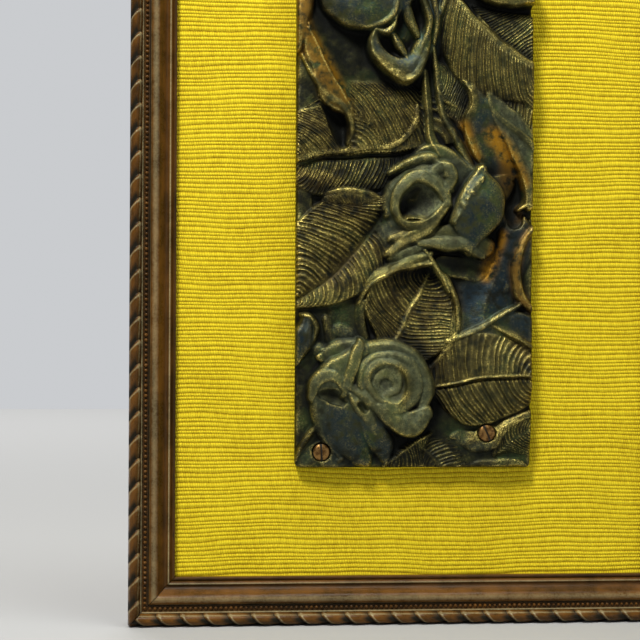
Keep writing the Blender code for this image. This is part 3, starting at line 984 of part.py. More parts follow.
def build_nail(name, label, centre, head, held, made):
    """A nail of a hanger, and its hole through what it holds."""
    nail = bmesh.new()
    profile = (
        (NAIL_SHANK_RADIUS * 0.4, head - NAIL_LENGTH),
        (NAIL_SHANK_RADIUS, head),
        (NAIL_HEAD_RADIUS, head),
        (NAIL_HEAD_RADIUS, head + NAIL_HEAD_THICKNESS),
    )
    add_turned(nail, centre, profile, 8)
    finish(name + "_nail_" + label, nail, made)
    hole = bmesh.new()
    radius = NAIL_SHANK_RADIUS + CLEARANCE
    add_turned(hole, centre, ((radius, head - NAIL_LENGTH - CLEARANCE), (radius, CUTTER_CLEAR)), 8)
    cutter = finish("cutter_" + name + "_" + label, hole, made)
    for target in held:
        cut_with(target, cutter)


def main():
    """Builds every part and cuts the ones that others pass through."""
    wood = material("walnut", (0.10, 0.055, 0.03), 0.0, 0.42)
    board_wood = material("board_wood", (0.38, 0.27, 0.16), 0.0, 0.7)
    cloth = material("gold_cloth", (0.62, 0.49, 0.04), 0.0, 0.85)
    bronze = material("patinated_bronze", (0.22, 0.21, 0.12), 1.0, 0.42)
    brass = material("screw_brass", (0.55, 0.27, 0.08), 1.0, 0.38)
    steel = material("hanger_steel", (0.45, 0.45, 0.44), 1.0, 0.4)
    rails = build_frame(wood)
    board = build_board(board_wood)
    sheet = build_cloth(cloth)
    relief = build_relief(bronze)
    bores, cloth_bores, holes = build_screw_cutters(brass)
    cut_with(relief, bores)
    cut_with(sheet, cloth_bores)
    cut_with(board, holes)
    build_screws(brass)
    top_rail = rails[2]
    build_hanger("hanger_left", -HANGER_APART / 2, top_rail, steel)
    build_hanger("hanger_right", HANGER_APART / 2, top_rail, steel)


main()
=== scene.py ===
"""Dresses the framed relief plaque: cast bronze roses and veined leaves on ribbed gold cloth in a walnut frame."""
from __future__ import annotations

import json
import logging
import math
from contextlib import contextmanager
from dataclasses import dataclass, field
from enum import Enum
from typing import Iterable, Iterator, Sequence

import bmesh
import bpy
import numpy as np
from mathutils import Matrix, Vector

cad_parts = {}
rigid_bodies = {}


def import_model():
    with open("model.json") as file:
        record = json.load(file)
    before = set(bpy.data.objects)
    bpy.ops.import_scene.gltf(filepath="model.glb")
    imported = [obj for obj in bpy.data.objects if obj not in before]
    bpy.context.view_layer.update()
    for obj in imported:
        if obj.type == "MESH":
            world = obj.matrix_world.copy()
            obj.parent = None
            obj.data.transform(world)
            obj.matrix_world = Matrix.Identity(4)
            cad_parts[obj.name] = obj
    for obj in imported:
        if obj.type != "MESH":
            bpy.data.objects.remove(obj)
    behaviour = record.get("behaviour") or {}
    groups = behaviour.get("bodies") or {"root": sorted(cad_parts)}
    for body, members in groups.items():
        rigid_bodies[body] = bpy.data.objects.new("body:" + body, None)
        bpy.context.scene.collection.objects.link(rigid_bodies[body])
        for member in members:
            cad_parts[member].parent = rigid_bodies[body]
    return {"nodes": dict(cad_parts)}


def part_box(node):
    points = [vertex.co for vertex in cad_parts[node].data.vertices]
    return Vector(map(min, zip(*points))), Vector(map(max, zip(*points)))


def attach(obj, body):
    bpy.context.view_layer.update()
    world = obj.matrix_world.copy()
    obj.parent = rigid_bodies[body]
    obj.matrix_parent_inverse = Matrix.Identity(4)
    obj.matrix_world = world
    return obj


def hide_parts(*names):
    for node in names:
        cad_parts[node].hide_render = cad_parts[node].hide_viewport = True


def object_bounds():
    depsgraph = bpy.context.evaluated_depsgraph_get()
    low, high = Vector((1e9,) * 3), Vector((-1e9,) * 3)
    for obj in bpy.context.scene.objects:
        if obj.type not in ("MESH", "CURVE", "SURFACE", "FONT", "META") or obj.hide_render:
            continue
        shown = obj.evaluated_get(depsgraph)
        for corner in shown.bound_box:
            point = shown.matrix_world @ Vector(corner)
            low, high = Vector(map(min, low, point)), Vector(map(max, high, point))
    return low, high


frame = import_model()
CAD_BOX = [list(corner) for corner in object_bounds()]
LOG = logging.getLogger("plaque")
Array = np.ndarray
Piece = bpy.types.Object
Sizes = Sequence[float] | float
Colour = tuple[float, float, float]

# The relief is carved on a sheet 237 units wide and 582 high, x to the right and y down, 19 units of height.
SHEET_LEFT = 294.0
SHEET_TOP = -114.0
SHEET_WIDTH = 237.0
SHEET_HEIGHT = 582.0
SHEET_DEPTH = 19.0
SHEET_GROUND = 6.0


def numbered(values: Sizes) -> Array:
    """One or more sizes as an array."""
    return np.atleast_1d(np.asarray(values, float))


def curve(points: Sequence[Sequence[float]], count: int) -> Array:
    """Points along a smooth curve through stations.

    Args:
        points: The stations the curve passes through.
        count: How many points to read from it.

    Returns:
        An array of count rows.
    """
    p = np.asarray(points, float)
    if len(p) == 1:
        return np.repeat(p, count, axis=0)
    if len(p) == 2:
        t = np.linspace(0, 1, count)[:, None]
        return p[0] * (1 - t) + p[1] * t
    ends = np.vstack([2 * p[0] - p[1], p, 2 * p[-1] - p[-2]])
    u = np.linspace(0, len(p) - 1, count)
    k = np.minimum(u.astype(int), len(p) - 2)
    f = (u - k)[:, None]
    a, b, c, d = ends[k], ends[k + 1], ends[k + 2], ends[k + 3]
    square = (2 * a - 5 * b + 4 * c - d) * f ** 2
    cube = (3 * b - a - 3 * c + d) * f ** 3
    return 0.5 * (2 * b + (c - a) * f + square + cube)


def along(values: Sizes, t: Array) -> Array:
    """A size that changes smoothly along a spine, read at the shares t of its length."""
    stations = curve(numbered(values)[:, None], 121)[:, 0]
    return np.interp(t, np.linspace(0, 1, 121), stations)


def ease(low: float, high: float, x: Array) -> Array:
    """A smooth step from 0 at low to 1 at high."""
    f = np.clip((x - low) / (high - low), 0, 1)
    return f * f * (3 - 2 * f)


def blur(values: Array, sigma: float) -> Array:
    """A Gaussian blur of a grid with its edges held."""
    reach = int(np.ceil(3 * sigma))
    weights = np.exp(-0.5 * (np.arange(-reach, reach + 1) / sigma) ** 2)
    weights /= weights.sum()
    padded = np.pad(values, reach, mode="edge")
    rows = sum(w * padded[i:i + values.shape[0], :] for i, w in enumerate(weights))
    return sum(w * rows[:, i:i + values.shape[1]] for i, w in enumerate(weights))


class Tone(Enum):
    """Patina and painted light of a carved form, as weights of (blue, rust, pale, gold) over the dark olive ground.
    """

    OLIVE = (0.0, 0.0, 0.0, 0.0)
    # The blue weight paints a reflection of blue light, the pale weight paints light on lit faces, and the gold
    # weight is rubbed brass that also paints highlights; the grey and warm tones mix these.
    BLUE = (1.0, 0.0, 0.0, 0.0)
    GREY = (0.55, 0.0, 0.45, 0.0)
    PALE = (0.1, 0.0, 0.9, 0.0)
    GOLD = (0.0, 0.1, 0.0, 1.0)
    RUST = (0.0, 1.0, 0.0, 0.2)
    BROWN = (0.25, 0.45, 0.0, 0.0)
    WARM = (0.0, 0.1, 0.2, 0.5)


@dataclass(frozen=True)
class Veins:
    """Fine ribs across a leaf.

    Attributes:
        pitch: Distance from rib to rib along the spine, in sheet units.
        left: How far a rib sweeps forward by the left margin, at stations along the spine.
        right: The same for the right margin.
        depth: Height of the ribs, left and right.
        bend: How strongly the sweep is gathered towards the margin.
    """

    pitch: float
    left: Sizes
    right: Sizes
    depth: Sizes
    bend: float = 1.5


@dataclass(frozen=True)
class Form:
    """One leaf, petal or stem: a spine of (x, y, height) stations with a half-width on each side.

    A size for left and right is a pair, or one number for both.

    Attributes:
        name: What it is.
        spine: Stations along its middle line.
        left: Half-widths to the left of the walk along the spine.
        right: Half-widths to the right, if they aren't the same.
        drop: How far the surface falls from spine to margin, left and right.
        crown: How much it swells between them.
        power: How square the fall is.
        veins: Its ribs, if it has any.
        rib: Height and width of the ridge along the spine.
        groove: Depth of the channel beside the spine, left and right.
        lip: Height of the raised margin, left and right.
        edge: Depth and width of the margin's rounding.
        cut: True if it lowers what is there.
        melt: How softly it joins what it lies on; half a unit on a ribbed leaf.
        rough: Height of its coarse grain.
        tone: Its patina and painted light.
    """

    name: str
    spine: Sequence[Sequence[float]]
    left: Sizes
    right: Sizes | None = None
    drop: Sequence | float = 2
    crown: Sequence | float = 0
    power: Sizes = 1.5
    veins: Veins | None = None
    rib: Sequence[float] = (0, 1.5)
    groove: Sizes = 0
    lip: Sizes = 0
    edge: Sequence[float] = (0.9, 1.6)
    cut: bool = False
    melt: float | None = None
    rough: float = 0.0
    tone: Tone = Tone.OLIVE


@dataclass(frozen=True)
class Patch:
    """A streak of patina, or of painted highlight where it is gold.

    Attributes:
        spine: Stations (x, y) along it.
        width: Its half-width.
        tone: Its patina, or its painted light.
    """

    spine: Sequence[Sequence[float]]
    width: float
    tone: Tone


# Every form of the relief, from the ground up.
FORMS = (
    # the ground between the leaves
    Form("ground_top", ((326.5, -57.1, 6.8), (396.5, -38.4, 7.5), (519.4, -61.4, 6.8)), (50, 50, 50), (50, 70, 50),
         drop=1),
    Form("ground_hollow", ((348.9, 41.9, 6.2), (369, 71.6, 6.8), (389, 97.4, 7.4)), (20, 26, 20), (24, 24, 20),
         drop=1.2),
    Form("ground_middle", ((383.8, 215, 6.6), (381.8, 245, 7.2), (397.8, 262.9, 7.6)), (18, 18, 16), (10, 12, 10),
         drop=(1, 0.8)),
    Form("ground_left_low", ((310.1, 306.2, 6.6), (320.2, 345.9, 7.4), (310.5, 392.6, 6.8), (300.8, 440.4, 6.4)),
         (20, 22, 20, 14), (24, 24, 16, 10), drop=(1.2, 1), crown=0.3),
    Form("ground_stripes", ((333.9, 297.1, 7.4), (343.8, 319, 8.2), (347.9, 344.8, 8.6)), (20, 18, 14), (12, 14, 12),
         drop=1, crown=0.4),
    Form("ground_stems", ((425.1, 70.9, 7.6), (443.4, 110.6, 7.6), (461.9, 150.3, 7.4)), (20, 16, 10), (12, 16, 10),
         drop=(1, 1.2)),
    # the bottom edge
    Form("bottom_leaf_dark", ((404, 436.5, 6.4), (427.1, 452.5, 6.8), (449.6, 478.7, 6.4)), (2, 30, 44), (2, 22, 30),
         drop=1.5, veins=Veins(4.2, 16, 16, 0.5), rib=(0.8, 1.5)),
    Form("bottom_leaf_green", ((429.5, 433.2, 8.6), (406.6, 448.3, 8), (382.9, 468.3, 7)), (3, 24, 12), (2, 6, 3),
         drop=(2.5, 2), veins=Veins(3.6, 12, 2, 0.6), rib=(0.7, 1.5)),
    Form("corner_leaf", ((497.9, 452.6, 7), (511.7, 440.4, 8.4), (533, 428.4, 8.6)), (6, 16, 14), (6, 24, 30),
         drop=(-1, 3), veins=Veins(3.4, 10, 22, 0.7)),
    Form("corner_lens", ((470, 466.8, 5.8), (499.8, 463.5, 7.6), (534, 466.8, 7)), (3, 6, 2), (3, 6, 8), crown=0.8),
    Form("boss_right", ((459.3, 441.5, 7), (475, 446.3, 8.4), (491.1, 442.3, 8.6), (502.5, 431.4, 8.4)),
         (14, 20, 20, 12), (6, 9, 9, 8), drop=(3.2, 3.4), crown=(0.8, 1), power=(1.5, 1.7), melt=2.6, rough=0.15,
         tone=Tone.GREY),
    Form("boss_ridge", ((493.3, 446.4, 8.4), (503.1, 432.2, 9.6), (515.5, 421.2, 9.8), (531, 413.2, 9.4)),
         (6, 8, 7, 6), (3.5, 4, 4, 4), drop=(2.5, 2), crown=0.6, tone=Tone.GOLD),
    Form("leaf_low_right", ((429, 388.3, 9.4), (454.4, 383.6, 11.6), (487.2, 377.5, 12.5), (533, 376, 11)),
         (10, 44, 46, 38, 26), (10, 42, 47, 41, 25), drop=((1.5, 1, 2), (3.5, 4, 3)), crown=(0.6, 2),
         veins=Veins(4.8, (5, 7, 16), (14, 25, 22), (0.55, 0.85), 1.6), rib=(0.9, 1.6), groove=(0.2, 2.2),
         lip=(0.3, 0.7), tone=Tone.WARM),
    # the lower left edge
    Form("left_stem", ((286.9, 460.1, 7), (301.4, 443.4, 9.2), (314.2, 426.1, 9.4)), (4, 4.4, 4), drop=3, power=2),
    Form("boss_left", ((302.9, 458.3, 6.4), (320.7, 455.2, 7.2), (340.9, 462.3, 6.4)), (11, 16, 11), (10, 15, 9),
         drop=1.6, crown=0.5, power=1.6, melt=2.4, tone=Tone.GREY),
    Form("left_petal", ((294.3, 364.8, 8), (299.5, 338.9, 12), (305.5, 319.2, 11)), (6, 10, 5), (3, 12, 6),
         drop=(2, 2.5), crown=(0.8, 1.8), tone=Tone.BLUE),
    Form("left_petal_rim",
         ((299.6, 317.2, 11), (308.3, 318.2, 12.4), (313.4, 330, 12), (308.8, 344.9, 10), (299.1, 357.8, 8.6)),
         (3, 3.6, 3.6, 3, 2), (1.8, 2.2, 2.2, 2), drop=(1.8, 2.4), power=(1.6, 2)),
    Form("knob_a", ((315.9, 349.8, 9.2), (324.8, 354.7, 9.8)), 9, drop=2.8, power=1.8, melt=3, rough=0.2,
         tone=Tone.GREY),
    Form("knob_b", ((337.7, 330.9, 9), (347.6, 336.8, 9.6)), 10, 9, drop=2.8, power=1.7, melt=3, rough=0.2,
         tone=Tone.GREY),
    Form("knob_c", ((324.9, 321, 8.4), (328.9, 338.9, 8.8)), (7, 8), (6, 8), drop=1.8, power=1.6, melt=3),
    # the cupped leaf in the middle
    Form("centre_outside", ((361.2, 303, 10.6), (358.3, 320.9, 10.4), (363.5, 338.7, 10.2)), (4, 5, 4), (9, 9, 8),
         drop=(1, 3), power=(1.5, 1.4), melt=2.4),
    Form("leaf_centre",
         ((386.4, 353.5, 10.6), (398.6, 331.6, 9.4), (408.9, 309.7, 8.2), (422.4, 284.6, 6.4), (430.4, 266.5, 6.6)),
         (10, 38, 47, 37, 8), (30, 45, 46, 34, 6), drop=((-0.5, -1.6, -2.6, -3.5, -1), (0.8, -1, -2.4, -4, -1)),
         crown=(-0.7, -0.5), power=1.4, veins=Veins(3.9, (18, 24, 24), (22, 20, 10), 0.75, 1.4), rib=(1, 1.7),
         tone=Tone.WARM),
    Form("centre_top",
         ((355.5, 301, 9.2), (368.9, 285.2, 11.2), (388.5, 271.2, 12.4), (408.3, 264.2, 12.8), (428.4, 262, 12.6)),
         (4, 9, 9, 7, 4), (1, 1, 1, 1, 1), drop=(3.4, 1), crown=(0.3, 0), power=(1.3, 1)),
    Form("centre_rim_top",
         ((357.2, 305, 10.8), (363.8, 290.2, 12), (377.5, 279.7, 12.8), (392.2, 272.2, 13.4),
          (409.1, 267.2, 13.7), (430.2, 265, 13.4)), (3, 4, 4, 3), (1.5, 1.8, 1.8, 1.6), drop=(1, 2.6),
         power=(1.6, 2), tone=Tone.GOLD),
    Form("centre_rim_right",
         ((426.4, 259.1, 12.6), (437.3, 269.9, 13), (445.9, 284.7, 12.9), (452.7, 301.6, 12.6),
          (454.9, 318.4, 12.2), (452.2, 335.4, 11.6), (441.5, 353.3, 10.8), (424.9, 374.3, 9.6)),
         (3, 4.4, 4.4, 4, 3.4), (1.6, 2, 2.2, 2), drop=(1.4, 2), power=(1.4, 2), melt=2, tone=Tone.GOLD),
    # the broad leaf at the middle left
    Form("leaf_mid_left",
         ((386.7, 204, 6.6), (371, 232, 6), (349.8, 257.2, 6.8), (326.7, 280.3, 8.4), (294.1, 303.3, 7.5)),
         (5, 26, 32, 26, 8), (12, 54, 62, 54, 18), drop=((-1.5, -1.8, -1.6, -0.5), (-1.5, -1.8, -1.4, 0)),
         crown=(1.6, 2.8), power=1, veins=Veins(4.9, (12, 14, 16), (20, 24, 20), (0.6, 0.95), 2), lip=(0.3, 0.5),
         tone=Tone.WARM),
    Form("mid_left_lobe", ((389.5, 207.1, 7.6), (366.7, 198.8, 10.4), (345.7, 196.2, 11), (324, 200.2, 10)),
         (12, 14, 11, 6), (4, 7, 7, 4), drop=(2.6, 1.8), crown=0.2, power=(1.2, 1.6),
         veins=Veins(3.4, (-5, -6), (5, 6), 0.35, 1.3), melt=2.4, tone=Tone.WARM),
    Form("mid_left_rim",
         ((387.2, 206.3, 8.6), (373.7, 197.3, 10.4), (357.6, 191.6, 11), (341.7, 190.8, 11), (324.9, 194.8, 10.2)),
         (3, 4, 4, 3), (1.8, 2.2, 2.2, 2), drop=(0.8, 1.8), power=(1.3, 2), melt=2.4, tone=Tone.WARM),
    Form("edge_stripes", ((297.4, 186.3, 8), (298.5, 207.2, 8.2), (295.7, 233.9, 8)), (10, 12, 6), (8, 8, 6), drop=1),
    Form("edge_rim", ((287.6, 245.1, 9.4), (297.4, 233.2, 10), (311.2, 223.1, 10)), (2.4, 3, 2), (5, 7, 5),
         drop=(1.6, 1), power=(2, 1.4), melt=2.4),
    # the broad leaf at the upper left
    Form("leaf_upper_lower_half",
         ((407.4, 151, 7.4), (385.2, 159.3, 7.7), (347.2, 161.9, 7.9), (319.2, 163.3, 8.2), (289.4, 166.6, 8)),
         (12, 30, 29, 35, 24), (5, 5, 5, 5, 5), drop=(0.3, 2), crown=(1.9, 0), power=(1.5, 1),
         veins=Veins(3.7, (10, 16, 22), 0, (0.7, 0), 1.3), lip=(0.5, 0)),
    Form("leaf_upper_left_b", ((348.6, 154.5, 10.4), (318.7, 157.9, 10.6), (289.1, 164.2, 10.4)), (2, 2, 2),
         (44, 48, 48), drop=(1.5, (1.4, 1, 0.8)), crown=(0, 1.3), power=(2, 1.3),
         veins=Veins(3.7, 0, (34, 42, 44), 0.75), tone=Tone.GOLD),
    Form("leaf_upper_left",
         ((425.2, 148, 8.4), (408.7, 150.5, 9.8), (392.6, 152.3, 10), (368.6, 154.1, 10), (340.7, 156, 10)), 2,
         (64, 68, 70, 72, 74), drop=(1.5, (2.6, 2.8, 3, 3, 3)), crown=(0, (1.4, 1.5, 1.3)), power=(2, 1.8),
         veins=Veins(3.5, 0, (26, 34, 42), 0.75, 1.7), edge=(0.1, 1.6), tone=Tone.WARM),
    Form("upper_left_rim",
         ((415.6, 107.5, 9.4), (414, 123.7, 10.2), (405.3, 139.4, 10.8), (388.4, 149, 10.8), (348.6, 154, 10.5),
          (318.7, 156.9, 10.8), (299, 162.5, 10.2)), (1.4, 1.6, 1.6), (3.4, 6, 6, 4.4, 3.6), drop=(2.2, 0.6),
         power=(2, 1.3), tone=Tone.GOLD),
    Form("edge_stripes_top", ((305.6, 55.7, 9), (305.7, 83.5, 9.2), (302.9, 111.2, 9)), (8, 11, 14), (10, 14, 14),
         drop=(1.5, 1), crown=0.4),
    Form("edge_step", ((288.9, 116.5, 9.6), (301.7, 112.5, 10.2), (316.7, 109.1, 9.5)), (2, 2, 2), (3, 4, 3),
         drop=(1.6, 1), power=2),
    # the folded smooth leaf and the hollow beneath it
    Form("hollow_cut", ((323.3, 101.9, 5.6), (337.5, 121.5, 5), (340.5, 143.6, 6)), (9, 10, 7), (7, 14, 8),
         drop=(-1.8, -3.2), cut=True),
    Form("fold_right_wall",
         ((305.1, 27, 11.5), (316, 52.5, 11.8), (328, 76.1, 12.2), (340.1, 96.4, 11.4), (348.3, 110.9, 10.6)),
         (24, 44, 48, 34, 14), (1, 1, 1, 1), drop=((5, 6, 5.4, 3.6), 1), crown=(-1.6, 0), power=(0.8, 1),
         edge=(0, 1.6), melt=2.4),
    Form("fold_upper_left",
         ((305, 31.2, 12.2), (315.9, 54.8, 12.6), (327.8, 77.5, 13.2), (339.9, 96.9, 12.8), (348, 111.3, 12),
          (350.2, 127, 11.6), (346.5, 142.6, 10.4)), 1.5, (6, 13, 15, 22, 17, 6, 3), drop=(2, (0.8, 0.2, -0.2, 0.4)),
         crown=(0, -1.2), power=(2, 1.4), rib=(0.35, 1.2), edge=(0.8, 2.4), tone=Tone.BROWN),
    Form("fold_rim",
         ((298.4, 58.4, 10.8), (309.1, 80.5, 12.4), (316, 93.5, 13.4), (325.9, 102.3, 13.6), (337.8, 109.4, 13.4),
          (345.8, 121.6, 13.2), (348.1, 134.2, 12.4), (344.5, 144.7, 10.6)), (2.4, 4, 5, 5, 3), (1.4, 2.4, 2.8, 2),
         drop=(0.8, 2.8), power=(1.4, 2)),
    Form("corner_left_top", ((307.9, -18.8, 11), (302, 13.2, 11.5), (294.3, 50.9, 11.5)), (10, 8, 6), (14, 14, 8),
         drop=(4, 1.5), crown=(1, 0.6), tone=Tone.BROWN),
    # the leaves at the upper right
    Form("leaf_right_striped", ((479, 96.5, 9.5), (497.5, 116.4, 10.2), (512.7, 130.2, 10.2), (538, 149.8, 10)),
         (8, 30, 40, 40), (2, 2, 2, 2), drop=((1.5, 1.5), 2), crown=(0.6, 0),
         veins=Veins(4, (-18, -24, -24), 0, (0.65, 0), 1), tone=Tone.WARM),
    Form("leaf_top_right_back", ((470.9, 10.4, 8.5), (486.9, 29.3, 9.2), (505, 46.2, 9.6), (540, 73.4, 9)),
         (6, 30, 46, 46), (2, 2, 2, 2), drop=((1, 0.5, 0), 2), crown=(1.4, 0),
         veins=Veins(3.3, (8, 10, 10), 0, (0.7, 0), 1.2)),
    Form("top_right_midrib", ((476.1, 18.2, 10.8), (486, 30.3, 11.6), (503.4, 45.4, 11.4), (521.3, 57, 10)),
         (2, 2.6, 2.4), (2, 3, 3), drop=(1.8, 2.4), power=2, tone=Tone.GOLD),
    Form("leaf_upper_right",
         ((445.5, -7.7, 11.5), (463.1, 14.6, 13.4), (481.1, 32.2, 13.8), (501.7, 48.7, 13.6), (540, 74.5, 12.4)),
         (4, 5, 5, 5, 5), (14, 38, 53, 52, 34), drop=(2.5, (3.5, 4.4, 4.2, 3, 2)), crown=(0, 1.6), power=(2, 1.3),
         veins=Veins(3.4, 0, (20, 34, 40, 34), (0, 0.8), 1.1), lip=(0, 0.35), edge=(1.6, 2.6), tone=Tone.WARM),
    Form("petal_top_right", ((470.7, -13.1, 14), (490.4, -6.9, 15.5), (518.3, -9.4, 15.5), (545, -20.2, 15)),
         (8, 12, 14, 14), (4, 14, 15, 10), drop=(2, 1.6), crown=(0.6, 1.4), lip=(0, 0.5), tone=Tone.WARM),
    # the smooth blades at the right
    Form("right_low_strip", ((506.6, 208.1, 9.5), (508.6, 240.3, 10.6), (503.8, 278.2, 9)), (13, 24, 16),
         (10, 13, 10), drop=((1, 1.5), (3, 3.5)), crown=0.8, tone=Tone.BLUE),
    Form("right_edge_stripes", ((531, 227.8, 8.5), (528.9, 261.9, 8.5), (531, 312, 8)), (8, 9, 9), (8, 8, 8), drop=1),
    Form("drape", ((500.7, 258.1, 8.6), (492.3, 284.2, 8.8), (484, 306.3, 9.8), (475.3, 328.3, 11.6)),
         (8, 20, 30, 26), (34, 40, 36, 28), drop=((0.8, 1.2, 0.6), (3.5, 3.8, 3, 0.6)), crown=(0, -0.9),
         power=(1.2, 1.1), edge=(0.2, 1.6), melt=2.6, tone=Tone.BLUE),
    Form("under_drape", ((485.8, 324.3, 10.4), (506.6, 328.2, 11), (536, 348.1, 10.5)), (12, 22, 32), (4, 8, 8),
         drop=(1.5, 1.2), crown=(0.8, 0.5), tone=Tone.BLUE),
    Form("drape_rim",
         ((445.2, 342.3, 11.6), (462.9, 335.8, 12.6), (478.8, 328.8, 13), (494.1, 318.2, 12.8),
          (506.2, 311.7, 12.2), (519.3, 305.6, 11.2)), (4, 5, 4, 3), (1.8, 2.2, 2.2, 2), drop=(1.2, 2.2),
         power=(1.5, 2), melt=2.2, tone=Tone.GREY),
    Form("right_lobe",
         ((536, 222.2, 12), (523.4, 242.3, 12.6), (516.9, 262.3, 12.8), (516.9, 281.3, 12.6),
          (523.5, 297.1, 11.6), (538, 312, 11)), (1.8, 2.4, 2.6, 2.6, 2), (2.4, 6, 8, 8, 5), drop=(1.8, 2),
         crown=(0, 0.3), power=(2, 1.5), tone=Tone.BROWN),
    Form("leaf_low_right_rim", ((487.2, 325.2, 12), (501.8, 334.1, 12.8), (518.1, 340.6, 12.8), (534, 353, 12)),
         (3, 4, 4), (1.8, 2.2, 2), drop=(1.2, 2.4), power=(1.6, 2), tone=Tone.GOLD),
    Form("blade_cavity", ((489.8, 160.1, 8.6), (505.4, 177.5, 6.2), (511.9, 199.4, 5), (513.7, 221.7, 6.4)),
         (10, 14, 14, 8), drop=-1.2, cut=True),
    Form("blade_body",
         ((470.1, 89.4, 11.6), (476.1, 107.3, 12), (483.3, 129, 11.8), (494, 150.6, 11), (505.7, 172, 8.6)),
         (5, 12, 14, 14, 10), (3, 10, 16, 18, 16), drop=((1, 0.8, 0.6, 0.4), (0.6, 0.6, 1)), crown=0.2,
         power=(1.6, 1.5), melt=2.2, tone=Tone.BLUE),
    Form("blade_right",
         ((485.2, 98.1, 11.8), (495.8, 113.9, 11.8), (510.2, 134.7, 11.8), (522.3, 162.4, 11.6),
          (528.8, 200.2, 11.4)), (6, 16, 20, 16, 8), (3, 5, 6, 6, 4), drop=((0.6, 0.8, 1), (0.5, 0.5)),
         crown=(0.2, 0.3), power=(1.4, 1.6), melt=2.2, tone=Tone.GREY),
    Form("right_ribbon", ((482.3, 102.1, 11.6), (496.5, 117.7, 12.8), (512.1, 131, 13.2), (538, 150.5, 13)),
         (3, 4, 4.4), (3.2, 4.4, 4.8), drop=(2, 2.4), power=2, rib=(-0.5, 1)),
    Form("blade_edge_left",
         ((463.1, 85.5, 11.6), (467.7, 93.7, 12.8), (467.7, 103.7, 12.8), (462.9, 115.6, 12.4),
          (461.2, 127.3, 11.6), (464.4, 141.2, 11.4), (470.7, 153.9, 11), (478.2, 165.6, 10)), (6, 8, 8, 6),
         (1.6, 2.2, 2.2, 2), drop=(1, 2.8), power=(1.4, 2)),
    Form("blade_rim",
         ((485.1, 102.2, 12.2), (493.3, 125.1, 12.6), (505.5, 149, 13), (515.6, 170.7, 13), (523.3, 190.5, 12.6),
          (525.1, 204.3, 11.8)), (5, 8, 9, 7), (1.4, 2, 2.4, 2), drop=(0.9, 2.8), power=(1.5, 2), tone=Tone.GREY),
    Form("blade_foot", ((517.1, 210.3, 11), (525.6, 205.4, 12.2), (540, 202.2, 12.2)), (2.4, 3, 3), (2, 2.6, 2.6),
         drop=(1.4, 2), power=(1.6, 2)),
    # the stems and the small leaf between them
    Form("small_leaf", ((435.5, 75.4, 9.8), (442.7, 96.2, 9.6), (453.1, 116.8, 9), (462.4, 134.5, 8.6)),
         (12, 26, 22, 12), (4, 6, 7, 5), drop=(1.6, 1.4), veins=Veins(3.2, (-20, -24), (4, 4), 0.5, 1),
         edge=(0.2, 1.6), melt=2),
    Form("stem_right",
         ((428.7, 36.3, 11.4), (433, 74, 11.2), (436.2, 101.7, 11), (441.4, 119.5, 10.8), (451.6, 139.2, 10.6),
          (462.6, 157, 11), (471.6, 170.9, 11.4)), (3, 4.6, 5.4, 5.4), (2.6, 3, 3.4, 3.6), drop=(2.8, 2.4),
         power=(1.4, 2), melt=2.4, tone=Tone.GREY),
    Form("stem_branch", ((435.1, 92.7, 11), (442.2, 102.6, 11), (452.8, 108, 9.6)), (3, 3, 2.4), (2.4, 2.4, 2),
         power=2),
    Form("stem_left",
         ((421.5, 74.1, 11), (422.9, 98.1, 11.6), (424, 120, 11.8), (425.9, 137.9, 12.2), (433.9, 157.8, 12.8)),
         (5, 6, 7, 9), (3, 3.2, 3.4, 4.4), drop=(2.8, 2.4), power=(1.4, 1.8), rib=(0.7, 0.9), melt=2.4,
         tone=Tone.GREY),
    Form("sepal_hip",
         ((408.6, 159.6, 10.4), (426, 148.8, 12.2), (446, 152.6, 12.5), (462.2, 165.3, 12.3), (476.6, 174.9, 11.6)),
         (2.8, 4, 4, 3), (9, 17, 18, 12), drop=(2.6, 1.8), crown=(0.2, 0.3), power=(1.6, 1.3), melt=3,
         tone=Tone.GREY),
    # the middle rose and the bud beside it
    Form("rose2_bed", ((396.9, 237.3, 10.5), (420.2, 206.5, 12.4), (448, 183.4, 12.8), (474.8, 178.8, 11)),
         (24, 36, 30, 14), (22, 26, 34, 40), drop=(4, 4.4), crown=1, tone=Tone.GREY),
    Form("rose2_wrap",
         ((382.6, 209.7, 11), (386.1, 194, 12.6), (399.7, 179.3, 13.8), (415.4, 171.3, 14.4),
          (433.3, 171.1, 14.6), (445.5, 184.7, 14.2)), (5, 7, 7, 6), (10, 12, 12, 10), drop=(3.6, 0.4),
         crown=(0.2, 0), power=(1.3, 1.5), melt=3, tone=Tone.GREY),
    Form("rose2_floor", ((399.2, 210.2, 8.8), (409.2, 205.1, 9), (420.8, 201.2, 10.4), (436, 197.5, 12.8)),
         (12, 19, 21, 12), (12, 18, 20, 12), drop=((-6.6, -6.4, -4.8, -2.4), (-6.6, -6.4, -4.8, -2.4)), power=2.2,
         cut=True, tone=Tone.PALE),
    Form("rose2_dark", ((408.9, 197.3, 9.8), (414.6, 191.4, 10.8)), (5, 3), (6, 4), drop=-1, power=(1.5, 1.4),
         cut=True),
    Form("rose2_rim",
         ((397.5, 220, 15), (393.4, 209.2, 15.4), (396.1, 197.5, 16.2), (402.8, 188.7, 16.8), (412.7, 182.2, 17),
          (424.7, 184.4, 16.8), (433.9, 192.1, 16.2), (440.3, 201.8, 15.2)), (5, 8, 10, 10, 9, 6),
         (1.8, 2.6, 2.8, 2.4), drop=(1.6, 2.6), crown=(0.1, 0), power=(1.4, 2), tone=Tone.GREY),
    Form("rose2_rim_low",
         ((392.5, 207.2, 15), (395.3, 218.6, 15.8), (405.2, 224.5, 16.2), (419.2, 222.4, 16),
          (432.3, 213.8, 15.4), (442.4, 201.7, 14.8)), (1.8, 2.4, 2.4, 2), (4, 6, 6, 4), drop=(2.8, 2.6),
         power=(2, 1.6), tone=Tone.GREY),
    Form("rose2_curl",
         ((429.1, 170.3, 15.4), (436.6, 165.1, 16.8), (446.4, 168.5, 17.2), (450.7, 179.2, 16.6),
